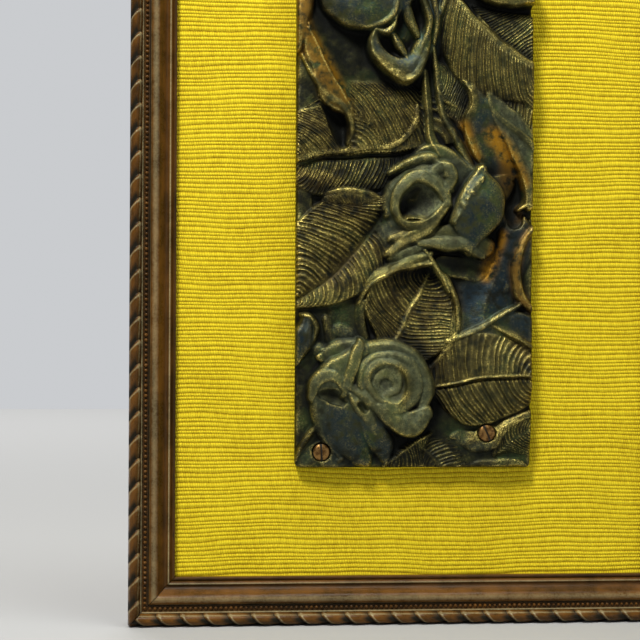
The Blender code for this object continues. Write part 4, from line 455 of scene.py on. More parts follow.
          (447.1, 189.9, 15.4)), (3, 3.4, 3.4, 3), (8, 13, 13, 9), drop=(2.8, 1.6), crown=(0, 0.8), power=(2, 1.6),
         melt=2.2, rough=0.12, tone=Tone.GREY),
    Form("rose2_top_roll",
         ((386, 174.3, 12.8), (397.4, 167.1, 14.6), (413, 162.2, 15.6), (426.8, 159.1, 16), (433, 164.3, 15.4)),
         (3.2, 4, 4, 3), (3.4, 5, 6, 5), drop=(2.2, 2.6), power=(1.8, 2), rough=0.25, tone=Tone.GREY),
    Form("rose2_twist", ((419.2, 173.4, 15.2), (430.9, 180.3, 16), (440, 192, 15.8), (445.5, 205.6, 14.6)),
         (5, 6, 6, 4), (2, 2.6, 2.6, 2), drop=(1.6, 2), power=(1.5, 2), tone=Tone.PALE),
    Form("bud_body", ((477.2, 171.6, 15), (476.4, 199.8, 17.4), (472.8, 223.4, 16.8), (470, 242.9, 13.8)),
         (8, 22, 27, 22, 8), (6, 18, 24, 26, 14), drop=((3, 4, 4), (1.2, 1.2, 2.5)), crown=(1.3, 0.8),
         power=(2, 1.8), edge=(1.4, 3), melt=2.2, tone=Tone.BLUE),
    Form("bud_roll",
         ((478.5, 179.9, 17), (470.1, 191.1, 18.2), (462.1, 201.1, 18.4), (455.4, 211.9, 17.8),
          (449.9, 221.7, 16.6)), (3.4, 4.4, 5, 4.6, 3.6), (4, 6, 6.4, 5.4, 4), drop=(1.6, 2.6), power=(1.7, 2),
         rough=0.5, tone=Tone.GREY),
    Form("ribbon_a",
         ((445.5, 205.6, 14.6), (436.5, 219.6, 14.8), (425.6, 232.5, 14.6), (407.9, 242.5, 14),
          (386.3, 255.4, 12.8)), (2.4, 3, 3), (6, 9, 9, 6), drop=(2.8, 1.2), power=(2, 1.4), melt=2.2,
         tone=Tone.WARM),
    Form("ribbon_b", ((431.8, 217.5, 13.8), (417.9, 229.5, 13.6), (402.2, 236.5, 13), (390.5, 241.5, 12)),
         (2.6, 3, 3), (5, 7, 6), drop=(1.6, 1.2), power=(1.6, 1.5), melt=2.2, tone=Tone.WARM),
    Form("petal_left_low", ((388.7, 257.3, 11.6), (404.4, 253.3, 12.6), (424.4, 244.2, 12.4)), (3, 6, 4), (6, 10, 6),
         drop=(1.6, 2.2), crown=(0.4, 0.3), power=(1.6, 1.3), melt=2.6, tone=Tone.PALE),
    Form("sepal_low", ((388.6, 269.2, 12.2), (408.3, 262.2, 13), (428.1, 256.1, 13.4)), (4, 6, 4), (3, 4, 3),
         drop=(1.6, 1.4), power=1.6, melt=2.2),
    # the petals under the middle rose
    Form("lower_bed", ((426.3, 237.2, 12.4), (451.2, 237, 13), (483, 246.6, 11.6)), (8, 14, 10), (14, 14, 10),
         drop=(1.6, 1), crown=0.4),
    Form("lower_lip",
         ((416.1, 244.3, 13.4), (428.7, 245.3, 14.6), (445.6, 247.2, 14.8), (459.8, 247, 14.2),
          (477.7, 257.6, 12.2)), (6, 8, 10, 9, 6), (3, 5, 6, 4, 2.6), drop=(1.2, 1.6), crown=(0.1, 0.4),
         power=(1.2, 1.7), edge=(0.9, 2), melt=2.4, tone=Tone.GREY),
    Form("cave", ((438.8, 262.6, 8.4), (454.6, 265.3, 6.6), (473.1, 266.2, 6)), (6, 9, 8), (9, 14, 16),
         drop=(-1, -1.5), cut=True),
    Form("sepal_edge", ((422, 251.2, 13.6), (430.1, 262.1, 13.6), (439.2, 276.9, 13.6), (446.4, 292.7, 13.2)),
         (2, 3, 3, 2), (2.4, 3, 3, 2.4), drop=(2.4, 1.8), power=2, tone=Tone.GREY),
    # the upper rose
    Form("rose3_bed", ((372.6, 44.1, 8), (399.7, 36.9, 11.4), (427.3, 10.8, 12.2)), (20, 36, 30), (20, 42, 30),
         drop=(4, 5), crown=1, tone=Tone.BLUE),
    Form("rose3_left_petal", ((313.7, -24.5, 12), (340.7, -3.3, 16), (366.1, 4.6, 17.4), (395.9, -6.1, 17)),
         (18, 26, 30, 24), (10, 26, 29, 18), drop=(2, (5, 4, 2)), crown=(1, 1.8), power=(1.5, 2.2), edge=(1.5, 3),
         tone=Tone.BLUE),
    Form("rose3_left_rim",
         ((362.7, 32.3, 15.6), (377.2, 27.7, 17.2), (387.3, 20, 18), (392, 8.4, 18.6), (392.6, -7.6, 18)),
         (3, 4, 4, 3), (1.8, 2.4, 2.4, 2), drop=(1, 2.6), power=(1.5, 2), tone=Tone.GREY),
    Form("rose3_cup_floor",
         ((381.1, 40.7, 10), (392.5, 53.9, 8.6), (406.5, 57.7, 8.8), (416.3, 41.8, 9.4), (416, 10.2, 10)),
         (9, 14, 15, 13, 10), (10, 14, 15, 13, 9), drop=-2.2, power=2, cut=True),
    Form("rose3_cup",
         ((370.9, 30.7, 14.4), (370.9, 44.8, 15), (375.7, 57.7, 15.6), (386.6, 68.5, 16), (400.6, 72.1, 15.8),
          (412.7, 63.8, 15.2), (418.8, 47.6, 14.6), (424.9, 29.5, 14)), (2.6, 6, 10, 12, 9, 5),
         (4, 6.5, 9, 10, 8, 5), drop=((2, 2.4, 2.8, 2.4), (3, 2.4, 1.4, 2)), crown=0.4, power=(1.5, 2),
         edge=(1.5, 1.6), melt=2.2, tone=Tone.BLUE),
    Form("rose3_cup_rim",
         ((371.8, 31.9, 15), (366.7, 43.2, 15.8), (368.1, 55.2, 16.4), (376.5, 67, 16.8), (388.4, 77.6, 17),
          (401.3, 83.7, 16.8), (412.4, 78.9, 16.2), (418.5, 67.8, 15.6), (422.7, 53.6, 14.8)), (3, 5, 6, 5),
         (2, 2.6, 2.8, 2.2), drop=(1.2, 2.8), power=(1.5, 2), rough=0.3, tone=Tone.GREY),
    Form("rose3_roll", ((372.7, 34, 15.4), (382.4, 36.2, 16.4), (389.3, 30.1, 16.2), (391.4, 20, 15.8)),
         (3, 5, 5, 3), (2.4, 3, 2.6, 2), drop=(1.4, 2.4), power=(1.6, 2), melt=2.2, tone=Tone.BLUE),
    Form("rose3_inner_a", ((386.1, 32, 13.4), (392.8, 46.2, 14.6), (398.8, 56, 14.8), (403.2, 63.3, 13.4)),
         (3.4, 5, 5, 3), (2.2, 3, 3, 2), drop=(2, 2.6), power=(1.7, 2), melt=2.2, tone=Tone.BLUE),
    Form("rose3_inner_b", ((395.3, -6.7, 15.6), (401.1, 11.3, 16.6), (406.2, 25.9, 16.4), (412.7, 38.9, 14.8)),
         (4, 6, 6, 4), (3.4, 5, 5, 3.4), drop=(2.4, 2.6), power=2, groove=(0, 0.3), melt=2.2, tone=Tone.BLUE),
    Form("rose3_outer_a",
         ((413.1, -7, 15.8), (421.1, 10.6, 16), (425.3, 24.2, 15.8), (421.6, 39.8, 15), (415.1, 55.3, 13.6)),
         (3, 4, 4, 3), (2.6, 3.4, 3.4, 2.6), drop=(2, 2.4), power=(1.7, 2), melt=2.2, tone=Tone.BLUE),
    Form("rose3_outer_b", ((426.4, -11.8, 14.8), (429.4, 8, 15), (432.7, 23.5, 14.4), (430.3, 44.8, 13)),
         (3, 4, 4, 3), (2.4, 2.8, 2.8, 2.4), drop=(2.2, 2.4), power=(1.7, 2), melt=2.2, tone=Tone.BLUE),
    Form("rose3_outer_c", ((450.7, -16.7, 14), (439.7, 3.5, 14), (434.1, 23, 13.2)), (3, 4, 3), drop=2.4, power=1.8,
         melt=2.2, tone=Tone.BLUE),
    # the lower left rose
    Form("rose1_outer_left",
         ((332.5, 452.1, 8), (319.1, 429.9, 10), (314.2, 404, 11.8), (315.9, 381.2, 13), (327.1, 364.4, 13.8),
          (346.8, 352.5, 14)), (4, 6, 6, 6, 5, 4), (14, 20, 22, 24, 22, 18),
         drop=((3, 3.6, 3.8, 3.2), (1.2, 0.6, 0, 0.4)), crown=(0.2, 0.1), power=(1.5, 1.3), melt=2.4, tone=Tone.GREY),
    Form("rose1_base", ((353.3, 380.2, 12), (377, 384.1, 12.8), (403.1, 388.1, 12.2)), (24, 34, 24), drop=1.8,
         crown=0.3, power=1.6, melt=3, tone=Tone.PALE),
    Form("rose1_body", ((333.5, 398, 12), (341.2, 419.6, 13.6), (349.5, 439.5, 12.6), (360.2, 457.9, 9.4)),
         (16, 24, 22, 12), (14, 22, 22, 12), drop=((2.6, 3.6, 4, 2.6), (2.6, 4.2, 4.6, 3.2)), crown=(0.6, 0.9),
         power=1.8, edge=(0.7, 3), melt=2.4, tone=Tone.BLUE),
    Form("rose1_body_right", ((363.1, 411.7, 13.2), (375.1, 429.5, 13.2), (383.6, 445.7, 11.4), (386.3, 458, 9)),
         (6, 11, 11, 6), (12, 17, 16, 10), drop=((3.2, 4.2, 4.2), (1.8, 2.6, 2.8)), crown=(0.4, 0.3),
         power=(1.7, 1.5), edge=(0.7, 3), melt=2.4, tone=Tone.BLUE),
    Form("rose1_plate", ((321.6, 352.7, 10.6), (337.3, 345.7, 11.6), (353.2, 342.7, 11.8)), (5, 7, 5), (10, 12, 10),
         drop=(3, 0.5), crown=0.3, power=(1.6, 1.8), tone=Tone.GREY),
    Form("rose1_left_hollow", ((320.9, 394.3, 10.4), (330.9, 396.3, 10), (339.7, 400.1, 10.8)), (4, 6, 4), (5, 8, 6),
         drop=(-2.2, -1.2), power=1.6, cut=True),
    Form("rose1_left_lip",
         ((313.5, 396, 12.8), (317.2, 385.1, 14), (326, 380.1, 14.8), (333.9, 383, 14.9), (340, 390.9, 14.2)),
         (8, 11, 13, 10, 5), (1.6, 2.2, 2.6, 2.4), drop=((1.2, 1.4, 1), 3.2), power=(1.4, 2), melt=2.2,
         tone=Tone.GREY),
    Form("rose1_slit", ((339.1, 391, 13.8), (342.6, 376, 15.4), (347.3, 360.3, 16.2), (351.8, 346.5, 15.9)),
         (1.6, 2.2, 2.4, 2.2), (8, 10, 11, 9), drop=(3, (1, 0.8, 0.6)), crown=(0, 0.2), power=(2, 1.5),
         edge=(1.2, 1.6), melt=2.2, tone=Tone.GREY),
    Form("rose1_ring3",
         ((354.7, 352.5, 14), (368.5, 346.5, 14.2), (388.3, 345.4, 14.4), (406.3, 352.3, 14.4),
          (418.3, 364.1, 14.6), (425.3, 379.9, 14.8), (426.3, 397.7, 14.8), (420.5, 413.6, 14.4)),
         (5, 6, 6, 6, 6, 5, 3), (9, 10, 10, 10, 9, 8), drop=(3.2, 0.7), crown=0.1, power=(1.5, 1.3), melt=2.6,
         tone=Tone.GREY),
    Form("rose1_lower_petal",
         ((344.9, 388, 14.2), (360.6, 396.7, 15.2), (376.4, 407.5, 15.8), (394.2, 418.3, 16), (408.2, 424.2, 16),
          (423.2, 412.5, 15.4)), (7, 10, 10, 10, 12, 8), (3, 6, 9, 12, 13, 8), drop=((1.6, 1.4, 1), (2.2, 2.2, 2.6)),
         crown=(-0.2, 0.2), power=(1.3, 1.5), edge=(0.8, 2.2), melt=2.6, rough=0.12, tone=Tone.GREY),
    Form("rose1_ring2",
         ((357.6, 384.9, 14.8), (360, 368.1, 15.2), (372.2, 357.8, 15.4), (390.1, 355.2, 15.6),
          (404.9, 362.1, 15.8), (413.9, 374.9, 16), (414.5, 390.7, 16), (407.1, 404.5, 15.8),
          (393.3, 411.4, 15.6), (378.5, 406.6, 15.2)), (4, 5, 5, 4), (6, 8, 9, 9, 7), drop=(1.6, 0.8), crown=0.1,
         power=(1.3, 1.4), melt=2.6, tone=Tone.GREY),
    Form("rose1_floor", ((378.9, 381.1, 12.9), (384.9, 384.1, 13.1), (390.9, 387, 12.9)), (17, 20, 18), drop=-2.8,
         power=2, cut=True, tone=Tone.PALE),
    Form("rose1_heart",
         ((371.8, 388, 13.6), (374.6, 376.1, 14.4), (385.4, 371.1, 14.8), (395.4, 378, 14.6),
          (394.6, 389.9, 14.2), (384.7, 395.8, 14)), (3, 4, 4, 3), (6, 8, 8, 6), drop=0.9, power=(1.6, 1.3),
         melt=2.4, tone=Tone.PALE),
    Form("rose1_inner",
         ((394.3, 405.5, 15.4), (381.3, 400.6, 15.8), (370.3, 390.7, 16), (365.2, 378.9, 16.2),
          (369.1, 369, 16.4), (379.9, 363.6, 16.6), (391.8, 365, 16.8), (400.7, 372.9, 16.8),
          (404.8, 384.7, 16.6), (402.1, 396.6, 16), (394.3, 405.5, 15.4)), (5, 6, 6, 5), 3, drop=(1.2, 2.6),
         power=(1.5, 1.8), tone=Tone.GREY),
    Form("rose1_hole_petal", ((346.9, 394.9, 14.2), (353.7, 404.6, 15), (362.8, 417.5, 14.8), (373.2, 433.5, 12.8)),
         (3, 7, 8, 5), (3, 5, 5, 4), drop=(1.2, 2.6), power=(1.6, 2), rough=0.2, tone=Tone.GREY),
    Form("rose1_hole", ((358.3, 404.9, 12.2), (362.3, 410.9, 12.2)), 3.4, drop=-2.4, power=2, cut=True),
    Form("bump_a", ((346.2, 448.4, 9.6), (348.2, 449.4, 9.6)), 3.4, drop=2.4, power=2),
    Form("bump_c", ((337.6, 462, 8), (341.5, 460.5, 8.2)), 3, power=2),
    # the crown of the panel
    Form("crown_leaf_left", ((367.8, -24.6, 10), (343.5, -47.2, 12), (317.7, -70.6, 12), (294.2, -92.9, 10)),
         (12, 28, 26, 6), (10, 26, 24, 6), crown=1.4, veins=Veins(4.8, (14, 18), (14, 18), 0.8, 1.4), rib=(0.9, 1.5)),
    Form("crown_leaf_right", ((436, -24.1, 10), (465.3, -43.7, 12.5), (496.1, -64.4, 12.5), (529.9, -92.2, 10)),
         (12, 32, 28, 6), (12, 30, 28, 6), drop=2.4, crown=1.5, veins=Veins(4.8, (16, 20), (16, 20), 0.8, 1.4),
         rib=(0.9, 1.5)),
    Form("crown_leaf_top", ((407.7, -55.3, 10.5), (411.3, -74.7, 12), (415.4, -93, 11.6), (419.9, -107.8, 10)),
         (10, 26, 24, 6), crown=1.2, veins=Veins(4.6, (12, 14), (12, 14), 0.8, 1.4), rib=(0.9, 1.5)),
    Form("rose3_top_a",
         ((346.5, -15.2, 16.4), (366.1, -33.4, 17), (393.8, -41.8, 17.4), (421.7, -36.7, 17), (438, -21.5, 16)),
         (4, 6, 7, 6, 4), (8, 12, 12, 12, 8), drop=(3.2, 2), crown=(0.4, 0.6), power=(2, 1.6)),
    Form("rose3_top_b",
         ((360.2, -7.3, 17), (373.9, -20.2, 17.8), (395.6, -26.6, 18), (415.5, -21.2, 17.6), (426.8, -7, 16.6)),
         (3, 4, 4, 3), (5, 7, 7, 5), drop=(2.6, 2.2), power=(2, 1.6)),
    Form("rose3_top_c", ((377.9, -3.5, 17.4), (387.7, -11.4, 18), (401.5, -12.7, 18), (411.8, -4.5, 17)),
         (2.6, 3.4, 3, 2.4), (4, 5, 5, 4), drop=(2.2, 2), power=(2, 1.6)),
    Form("bud_left_top", ((313.7, -36.5, 12), (303.5, -51.3, 14), (297.9, -68.1, 12)), (8, 12, 6), (8, 10, 6),
         drop=3, crown=0.8),
)

# Patina that lies across the forms, and painted highlights where the tone is gold.
PATCHES = (
    Patch(((489.5, 136.2), (501.3, 150.1), (510.9, 168), (518.4, 183.9)), 9, Tone.RUST),
    Patch(((506.7, 176), (511, 196), (513.2, 212)), 11, Tone.BROWN),
    Patch(((461.2, 126.7), (467.3, 145.5), (474.5, 160.4)), 5, Tone.RUST),
    Patch(((305.5, 31.9), (318.5, 55.4), (331.6, 79), (346.6, 103.5)), 3, Tone.RUST),
    Patch(((302.4, 6.2), (300.5, 34), (296.7, 53.9)), 7, Tone.BROWN),
    Patch(((314.7, 87.2), (322.7, 98), (336.7, 105.7), (345.7, 118.4), (348.8, 132.3)), 3.5, Tone.GOLD),
    Patch(((297.6, 263.7), (327.4, 241.7), (347.2, 216.7)), 15, Tone.GOLD),
    Patch(((299.2, 180.6), (315.1, 182.3), (331, 178.2)), 10, Tone.GOLD),
    Patch(((434.2, 386.3), (468.4, 380.3), (530, 376.2)), 4, Tone.GOLD),
    Patch(((504, 340.2), (529, 352.1), (531, 400.2)), 7, Tone.GOLD),
    Patch(((470.7, 438.2), (499.2, 428.3), (530, 415.3)), 6, Tone.GOLD),
    Patch(((396.9, 368.5), (405, 382.4), (402.1, 397.3), (396.1, 404.3)), 4, Tone.GOLD),
    Patch(((399.2, 215.2), (409.3, 222), (421.3, 219.9)), 4, Tone.GOLD),
    Patch(((452.9, 290.5), (455, 320.4), (448.1, 345.4), (428.1, 372.4)), 5, Tone.GOLD),
    Patch(((498.4, 236.2), (492.1, 255.2), (485.1, 275.3)), 6, Tone.RUST),
    Patch(((515.2, 204), (531, 202.8)), 4, Tone.GOLD),
    Patch(((374.4, 62.3), (390.5, 76), (404.6, 81.7)), 5, Tone.GOLD),
    Patch(((467.1, 88.6), (470.1, 100.5), (463.2, 116.6)), 3.5, Tone.GOLD),
)


@dataclass
class Carving:
    """The relief's surface as grids over the sheet.

    Attributes:
        step: Grid spacing in sheet units.
        spare: How far past a form's widths its window reaches.
        lip: A lip's place in from the margin and its breadth.
        groove: A groove's place out from the spine and its breadth.
        waver: How far the handwork strays and how broadly.
        fill: Breadth of the crevices that fill up and how deep they stay.
        lumps: Breadth and height of the casting's unevenness.
        x: Across.
        y: Down.
        u: Across, with the slight waver of handwork.
        v: Down, likewise.
        height: Height above the relief's back.
        phase: Count of ribs along the leaf that shows.
        ribs: Strength of those ribs, 0 to 1.
        tone: Weights of patina and of painted reflection and light.
        coarse: Coarse grain of unit strength.
    """

    step: float = 0.5
    spare: float = 3.0
    lip: tuple[float, float] = (1.1, 1.8)
    groove: tuple[float, float] = (2.2, 1.5)
    waver: tuple[float, float] = (0.55, 6.0)
    fill: tuple[float, float] = (3.2, 1.1)
    lumps: Sequence[tuple[float, float]] = ((0.8, 0.025), (3.0, 0.07), (8.0, 0.14))
    x: Array = field(init=False)
    y: Array = field(init=False)
    u: Array = field(init=False)
    v: Array = field(init=False)
    height: Array = field(init=False)
    phase: Array = field(init=False)
    ribs: Array = field(init=False)
    tone: Array = field(init=False)
    coarse: Array = field(init=False)

    def __post_init__(self) -> None:
        """Lays out the flat ground."""
        xs = np.arange(SHEET_LEFT, SHEET_LEFT + SHEET_WIDTH + self.step / 2, self.step)
        ys = np.arange(SHEET_TOP, SHEET_TOP + SHEET_HEIGHT + self.step / 2, self.step)
        self.x, self.y = np.meshgrid(xs, ys)
        self.height = np.full(self.x.shape, SHEET_GROUND)
        self.phase = np.zeros(self.x.shape)
        self.ribs = np.zeros(self.x.shape)
        self.tone = np.zeros(self.x.shape + (4,))
        rng = np.random.default_rng(11)
        self.coarse = self.unit_noise(rng, 1.7)
        stray, breadth = self.waver
        self.u = self.x + stray * self.unit_noise(rng, breadth)
        self.v = self.y + stray * self.unit_noise(rng, breadth)

    def unit_noise(self, rng: np.random.Generator, spread: float) -> Array:
        """Soft noise of unit strength over the sheet."""
        noise = blur(rng.normal(size=self.x.shape), spread / self.step)
        return noise / noise.std()

    def window(self, spine: Array, reach: float) -> tuple[slice, slice]:
        """The part of the grid within reach of a spine."""
        low = spine.min(0) - reach
        high = spine.max(0) + reach
        i0 = max(int((low[0] - SHEET_LEFT) / self.step), 0)
        i1 = max(int((high[0] - SHEET_LEFT) / self.step) + 2, 0)
        j0 = max(int((low[1] - SHEET_TOP) / self.step), 0)
        j1 = max(int((high[1] - SHEET_TOP) / self.step) + 2, 0)
        return slice(j0, j1), slice(i0, i1)

    @staticmethod
    def nearest(spine: Array, x: Array, y: Array) -> tuple[Array, Array, Array, Array]:
        """Where points lie beside a spine.

        Args:
            spine: Points along it.
            x: Across.
            y: Down.

        Returns:
            The share along the spine, the distance from it, whether it is on the left, and the spine's own shares
            followed by its length.
        """
        step = np.diff(spine[:, :2], axis=0)
        length = np.hypot(step[:, 0], step[:, 1])
        run = np.concatenate([[0], np.cumsum(length)])
        best = np.full(x.shape, 1e9)
        share = np.zeros(x.shape)
        side = np.zeros(x.shape)
        for k, (dx, dy) in enumerate(step):
            px = x - spine[k, 0]
            py = y - spine[k, 1]
            f = np.clip((px * dx + py * dy) / (length[k] ** 2 + 1e-12), 0, 1)
            ex = px - f * dx
            ey = py - f * dy
            square = ex * ex + ey * ey
            closer = square < best
            best[closer] = square[closer]
            share[closer] = ((run[k] + f * length[k]) / run[-1])[closer]
            side[closer] = (ey * dx - ex * dy)[closer]
        return share, np.sqrt(best), side <= 0, np.append(run / run[-1], run[-1])

    def raise_form(self, form: Form) -> None:
        """Lays one form over the sheet."""
        widths = (form.left, form.left if form.right is None else form.right)
        spine = curve(form.spine, 64)
        rows, columns = self.window(spine[:, :2], max(numbered(size).max() for size in widths) + self.spare)
        x = self.u[rows, columns]
        if x.size == 0:
            return
        share, distance, left, stations = self.nearest(spine, x, self.v[rows, columns])

        def pick(sizes: Sequence | float) -> Array:
            """A size of the side that each point is on."""
            pair = sizes if isinstance(sizes, tuple) else (sizes, sizes)
            return np.where(left, along(pair[0], share), along(pair[1], share))

        def swell(offset: Array, band: tuple[float, float]) -> Array:
            """A soft band at its place, of its breadth."""
            return np.exp(-((offset - band[0]) / band[1]) ** 2)

        width = np.maximum(pick(widths), 1e-3)
        r = np.minimum(distance / width, 1)
        power = pick(form.power)
        surface = np.interp(share, stations[:-1], spine[:, 2])
        surface = surface - pick(form.drop) * r ** power + pick(form.crown) * 4 * r ** power * (1 - r)
        surface = surface + pick(form.lip) * swell((1 - r) * width, self.lip)
        surface = surface - pick(form.groove) * swell(distance, self.groove)
        surface = surface + form.rib[0] * swell(distance, (0.0, form.rib[1]))
        surface = surface - form.edge[0] * np.clip(1 - (1 - r) * width / form.edge[1], 0, 1) ** 2
        phase = np.zeros(x.shape)
        strength = np.zeros(x.shape)
        if form.veins:
            sweep = pick((form.veins.left, form.veins.right)) * r ** form.veins.bend
            phase = (share * stations[-1] - sweep) / form.veins.pitch
            phase = phase + 0.12 * np.sin(phase * 1.7 + 3 * r) + 0.1 * np.sin(phase * 0.61 + 5.1 * r + 1.3)
            fade = ease(0.02, 0.12, r) * (1 - ease(0.93, 1.0, r))
            strength = pick(form.veins.depth) * fade * (0.75 + 0.25 * np.sin(phase * 2.3 + 2))
            surface = surface + strength * ((0.5 + 0.5 * np.cos(2 * np.pi * phase)) ** 1.3 - 0.45)
        surface = surface + form.rough * self.coarse[rows, columns]
        inside = distance <= width
        now = self.height[rows, columns]
        taken = inside if form.cut else inside & (surface > now)
        if form.cut:
            now[taken] = surface[taken]
        else:
            melt = form.melt or (0.5 if form.veins else 1.5)
            close = np.maximum(melt - np.abs(surface - now), 0) / melt * ease(0, 0.35, 1 - r)
            now[inside] = (np.maximum(surface, now) + close ** 2 * melt / 4)[inside]
        self.phase[rows, columns][taken] = phase[taken]
        self.ribs[rows, columns][taken] = strength[taken]
        self.tone[rows, columns][taken] = form.tone.value

    def stain(self, patch: Patch) -> None:
        """Lays one streak of patina, or of painted highlight, over the forms."""
        spine = curve(patch.spine, 40)
        rows, columns = self.window(spine, patch.width * 1.5)
        _, distance, _, _ = self.nearest(spine, self.x[rows, columns], self.y[rows, columns])
        share = (1 - ease(0.4, 1.4, distance / patch.width))[..., None]
        self.tone[rows, columns] = self.tone[rows, columns] * (1 - share) + np.array(patch.tone.value) * share

    def settle(self) -> None:
        """Fills the sharpest crevices, as a casting does, and blurs the weights of patina and painted light together.
        """
        fill = blur(self.height, self.fill[0] / self.step) - self.fill[1]
        self.height = blur(np.maximum(self.height, fill), 0.5 / self.step)
        rng = np.random.default_rng(7)
        for spread, amount in self.lumps:
            self.height = self.height + self.unit_noise(rng, spread) * amount
        for k in range(4):
            self.tone[..., k] = blur(self.tone[..., k], 2.4 / self.step)

    def read(self, grid: Array, x: Array, y: Array) -> Array:
        """Values of a grid at the nearest of its points."""
        i = np.clip(np.rint((x - SHEET_LEFT) / self.step).astype(int), 0, self.x.shape[1] - 1)
        j = np.clip(np.rint((y - SHEET_TOP) / self.step).astype(int), 0, self.x.shape[0] - 1)
        return grid[j, i]


class Wire:
    """A node's output that sums can be written with."""

    def __init__(self, graph: "Graph", socket: bpy.types.NodeSocket) -> None:
        """Keeps the socket and the graph it belongs to."""
        self.graph = graph
        self.socket = socket

    def maths(self, operation: str, *values: "Wire | float") -> "Wire":
        """A Math node on the given values, this wire among them."""
        return self.graph.node("ShaderNodeMath", {"operation": operation}, dict(enumerate(values)))

    def __add__(self, other: "Wire | float") -> "Wire":
        """Sum."""
        return self.maths("ADD", self, other)

    def __sub__(self, other: "Wire | float") -> "Wire":
        """Difference."""
        return self.maths("SUBTRACT", self, other)

    def __rsub__(self, other: float) -> "Wire":
        """Difference from a number."""
        return self.maths("SUBTRACT", other, self)

    def __mul__(self, other: "Wire | float") -> "Wire":
        """Product."""
        return self.maths("MULTIPLY", self, other)

    def __truediv__(self, other: "Wire | float") -> "Wire":
        """Quotient."""
        return self.maths("DIVIDE", self, other)

    def __pow__(self, other: "Wire | float") -> "Wire":
        """Power of a value that is not negative."""
        return self.maths("POWER", self, other)

    __radd__ = __add__
    __rmul__ = __mul__

    def fn(self, operation: str) -> "Wire":
        """A function of one value, such as SINE, FRACT or FLOOR."""
        return self.maths(operation, self)

    def most(self, other: "Wire | float") -> "Wire":
        """The larger of two values."""
        return self.maths("MAXIMUM", self, other)

    def least(self, other: "Wire | float") -> "Wire":
        """The smaller of two values."""
        return self.maths("MINIMUM", self, other)

    def clip(self) -> "Wire":
        """The value held between 0 and 1."""
        return self.most(0.0).least(1.0)

    def step(self, low: float, high: float) -> "Wire":
        """A smooth step from 0 at low to 1 at high."""
        inputs = {"Value": self, "From Min": low, "From Max": high}
        return self.graph.node("ShaderNodeMapRange", {"interpolation_type": "SMOOTHSTEP"}, inputs)


class Graph:
    """Builds the nodes of a material or of a shape."""

    def __init__(self, tree: bpy.types.NodeTree) -> None:
        """Starts on an empty tree."""
        self.tree = tree
        tree.nodes.clear()

    @staticmethod
    def find(sockets: Iterable, key: int | str) -> bpy.types.NodeSocket:
        """A socket by its place, or the first live one with a name."""
        if isinstance(key, int):
            return sockets[key]
        return next(s for s in sockets if s.name == key and s.enabled and not s.is_unavailable)

    def node(self, kind: str, settings: dict | None = None, inputs: dict | None = None, out: int | str = 0) -> Wire:
        """Adds a node.

        Args:
            kind: The node's type.
            settings: What is set on it first.
            inputs: Values or wires of its sockets, by name or place.
            out: The output that is wanted.

        Returns:
            That output.
        """
        made = self.tree.nodes.new(kind)
        for key, value in (settings or {}).items():
            setattr(made, key, value)
        for key, value in (inputs or {}).items():
            socket = self.find(made.inputs, key)
            for one in value if isinstance(value, list) else [value]:
                if isinstance(one, Wire):
                    self.tree.links.new(one.socket, socket)
                elif socket.type == "RGBA" and len(one) == 3:
                    socket.default_value = (*one, 1.0)
                else:
                    socket.default_value = one
        return Wire(self, self.find(made.outputs, out)) if len(made.outputs) else Wire(self, None)

    def place(self) -> Wire:
        """A point's place on the object."""
        return self.node("ShaderNodeTexCoord", out="Object")

    def attribute(self, name: str) -> Wire:
        """A number stored on the mesh."""
        return self.node("ShaderNodeAttribute", {"attribute_name": name}, out="Fac")

    def stretched(self, vector: Wire, scale: Sequence[float]) -> Wire:
        """A vector scaled along its axes."""
        return self.node("ShaderNodeVectorMath", {"operation": "MULTIPLY"}, {0: vector, 1: scale})

    def noise(self, vector: Wire, size: float, detail: float = 3.0, rough: float = 0.55) -> Wire:
        """Soft noise between about 0.2 and 0.8.

        Args:
            vector: Where it is read.
            size: Size of its largest lumps, in the vector's units.
            detail: Number of finer layers.
            rough: Strength of the finer layers.

        Returns:
            The noise.
        """
        inputs = {"Vector": vector, "Scale": 1 / size, "Detail": detail, "Roughness": rough}
        return self.node("ShaderNodeTexNoise", None, inputs, "Fac")

    def mix(self, share: Wire, a: Wire | Colour, b: Wire | Colour) -> Wire:
        """A colour between two others."""
        return self.node("ShaderNodeMix", {"data_type": "RGBA", "clamp_factor": True}, {0: share, 6: a, 7: b}, 2)

    def bump(self, height: Wire, distance: float) -> Wire:
        """A normal from a height, whose whole range stands for a distance in metres."""
        return self.node("ShaderNodeBump", None, {"Height": height, "Distance": distance, "Strength": 1.0})


@dataclass(frozen=True)
class Finish:
    """A surface finish.

    Attributes:
        name: The material's name.
        preview: Its plain colour.
    """

    name: str
    preview: Colour

    def shade(self, graph: Graph) -> dict:
        """The Principled shader's inputs."""
        raise NotImplementedError

    def material(self) -> bpy.types.Material:
        """Builds the finish, once."""
        made = bpy.data.materials.get(self.name)
        if made is None:
            made = bpy.data.materials.new(self.name)
            made.use_nodes = True
            made.diffuse_color = (*self.preview, 1.0)
            graph = Graph(made.node_tree)
            surface = graph.node("ShaderNodeBsdfPrincipled", None, self.shade(graph))
            graph.node("ShaderNodeOutputMaterial", None, {"Surface": surface})
        return made

    def wear_on(self, piece: bpy.types.Object) -> None:
        """Puts the finish on a piece or on a part that is kept."""
        if not piece.material_slots:
            piece.data.materials.append(self.material())
        for slot in piece.material_slots:
            slot.material = self.material()


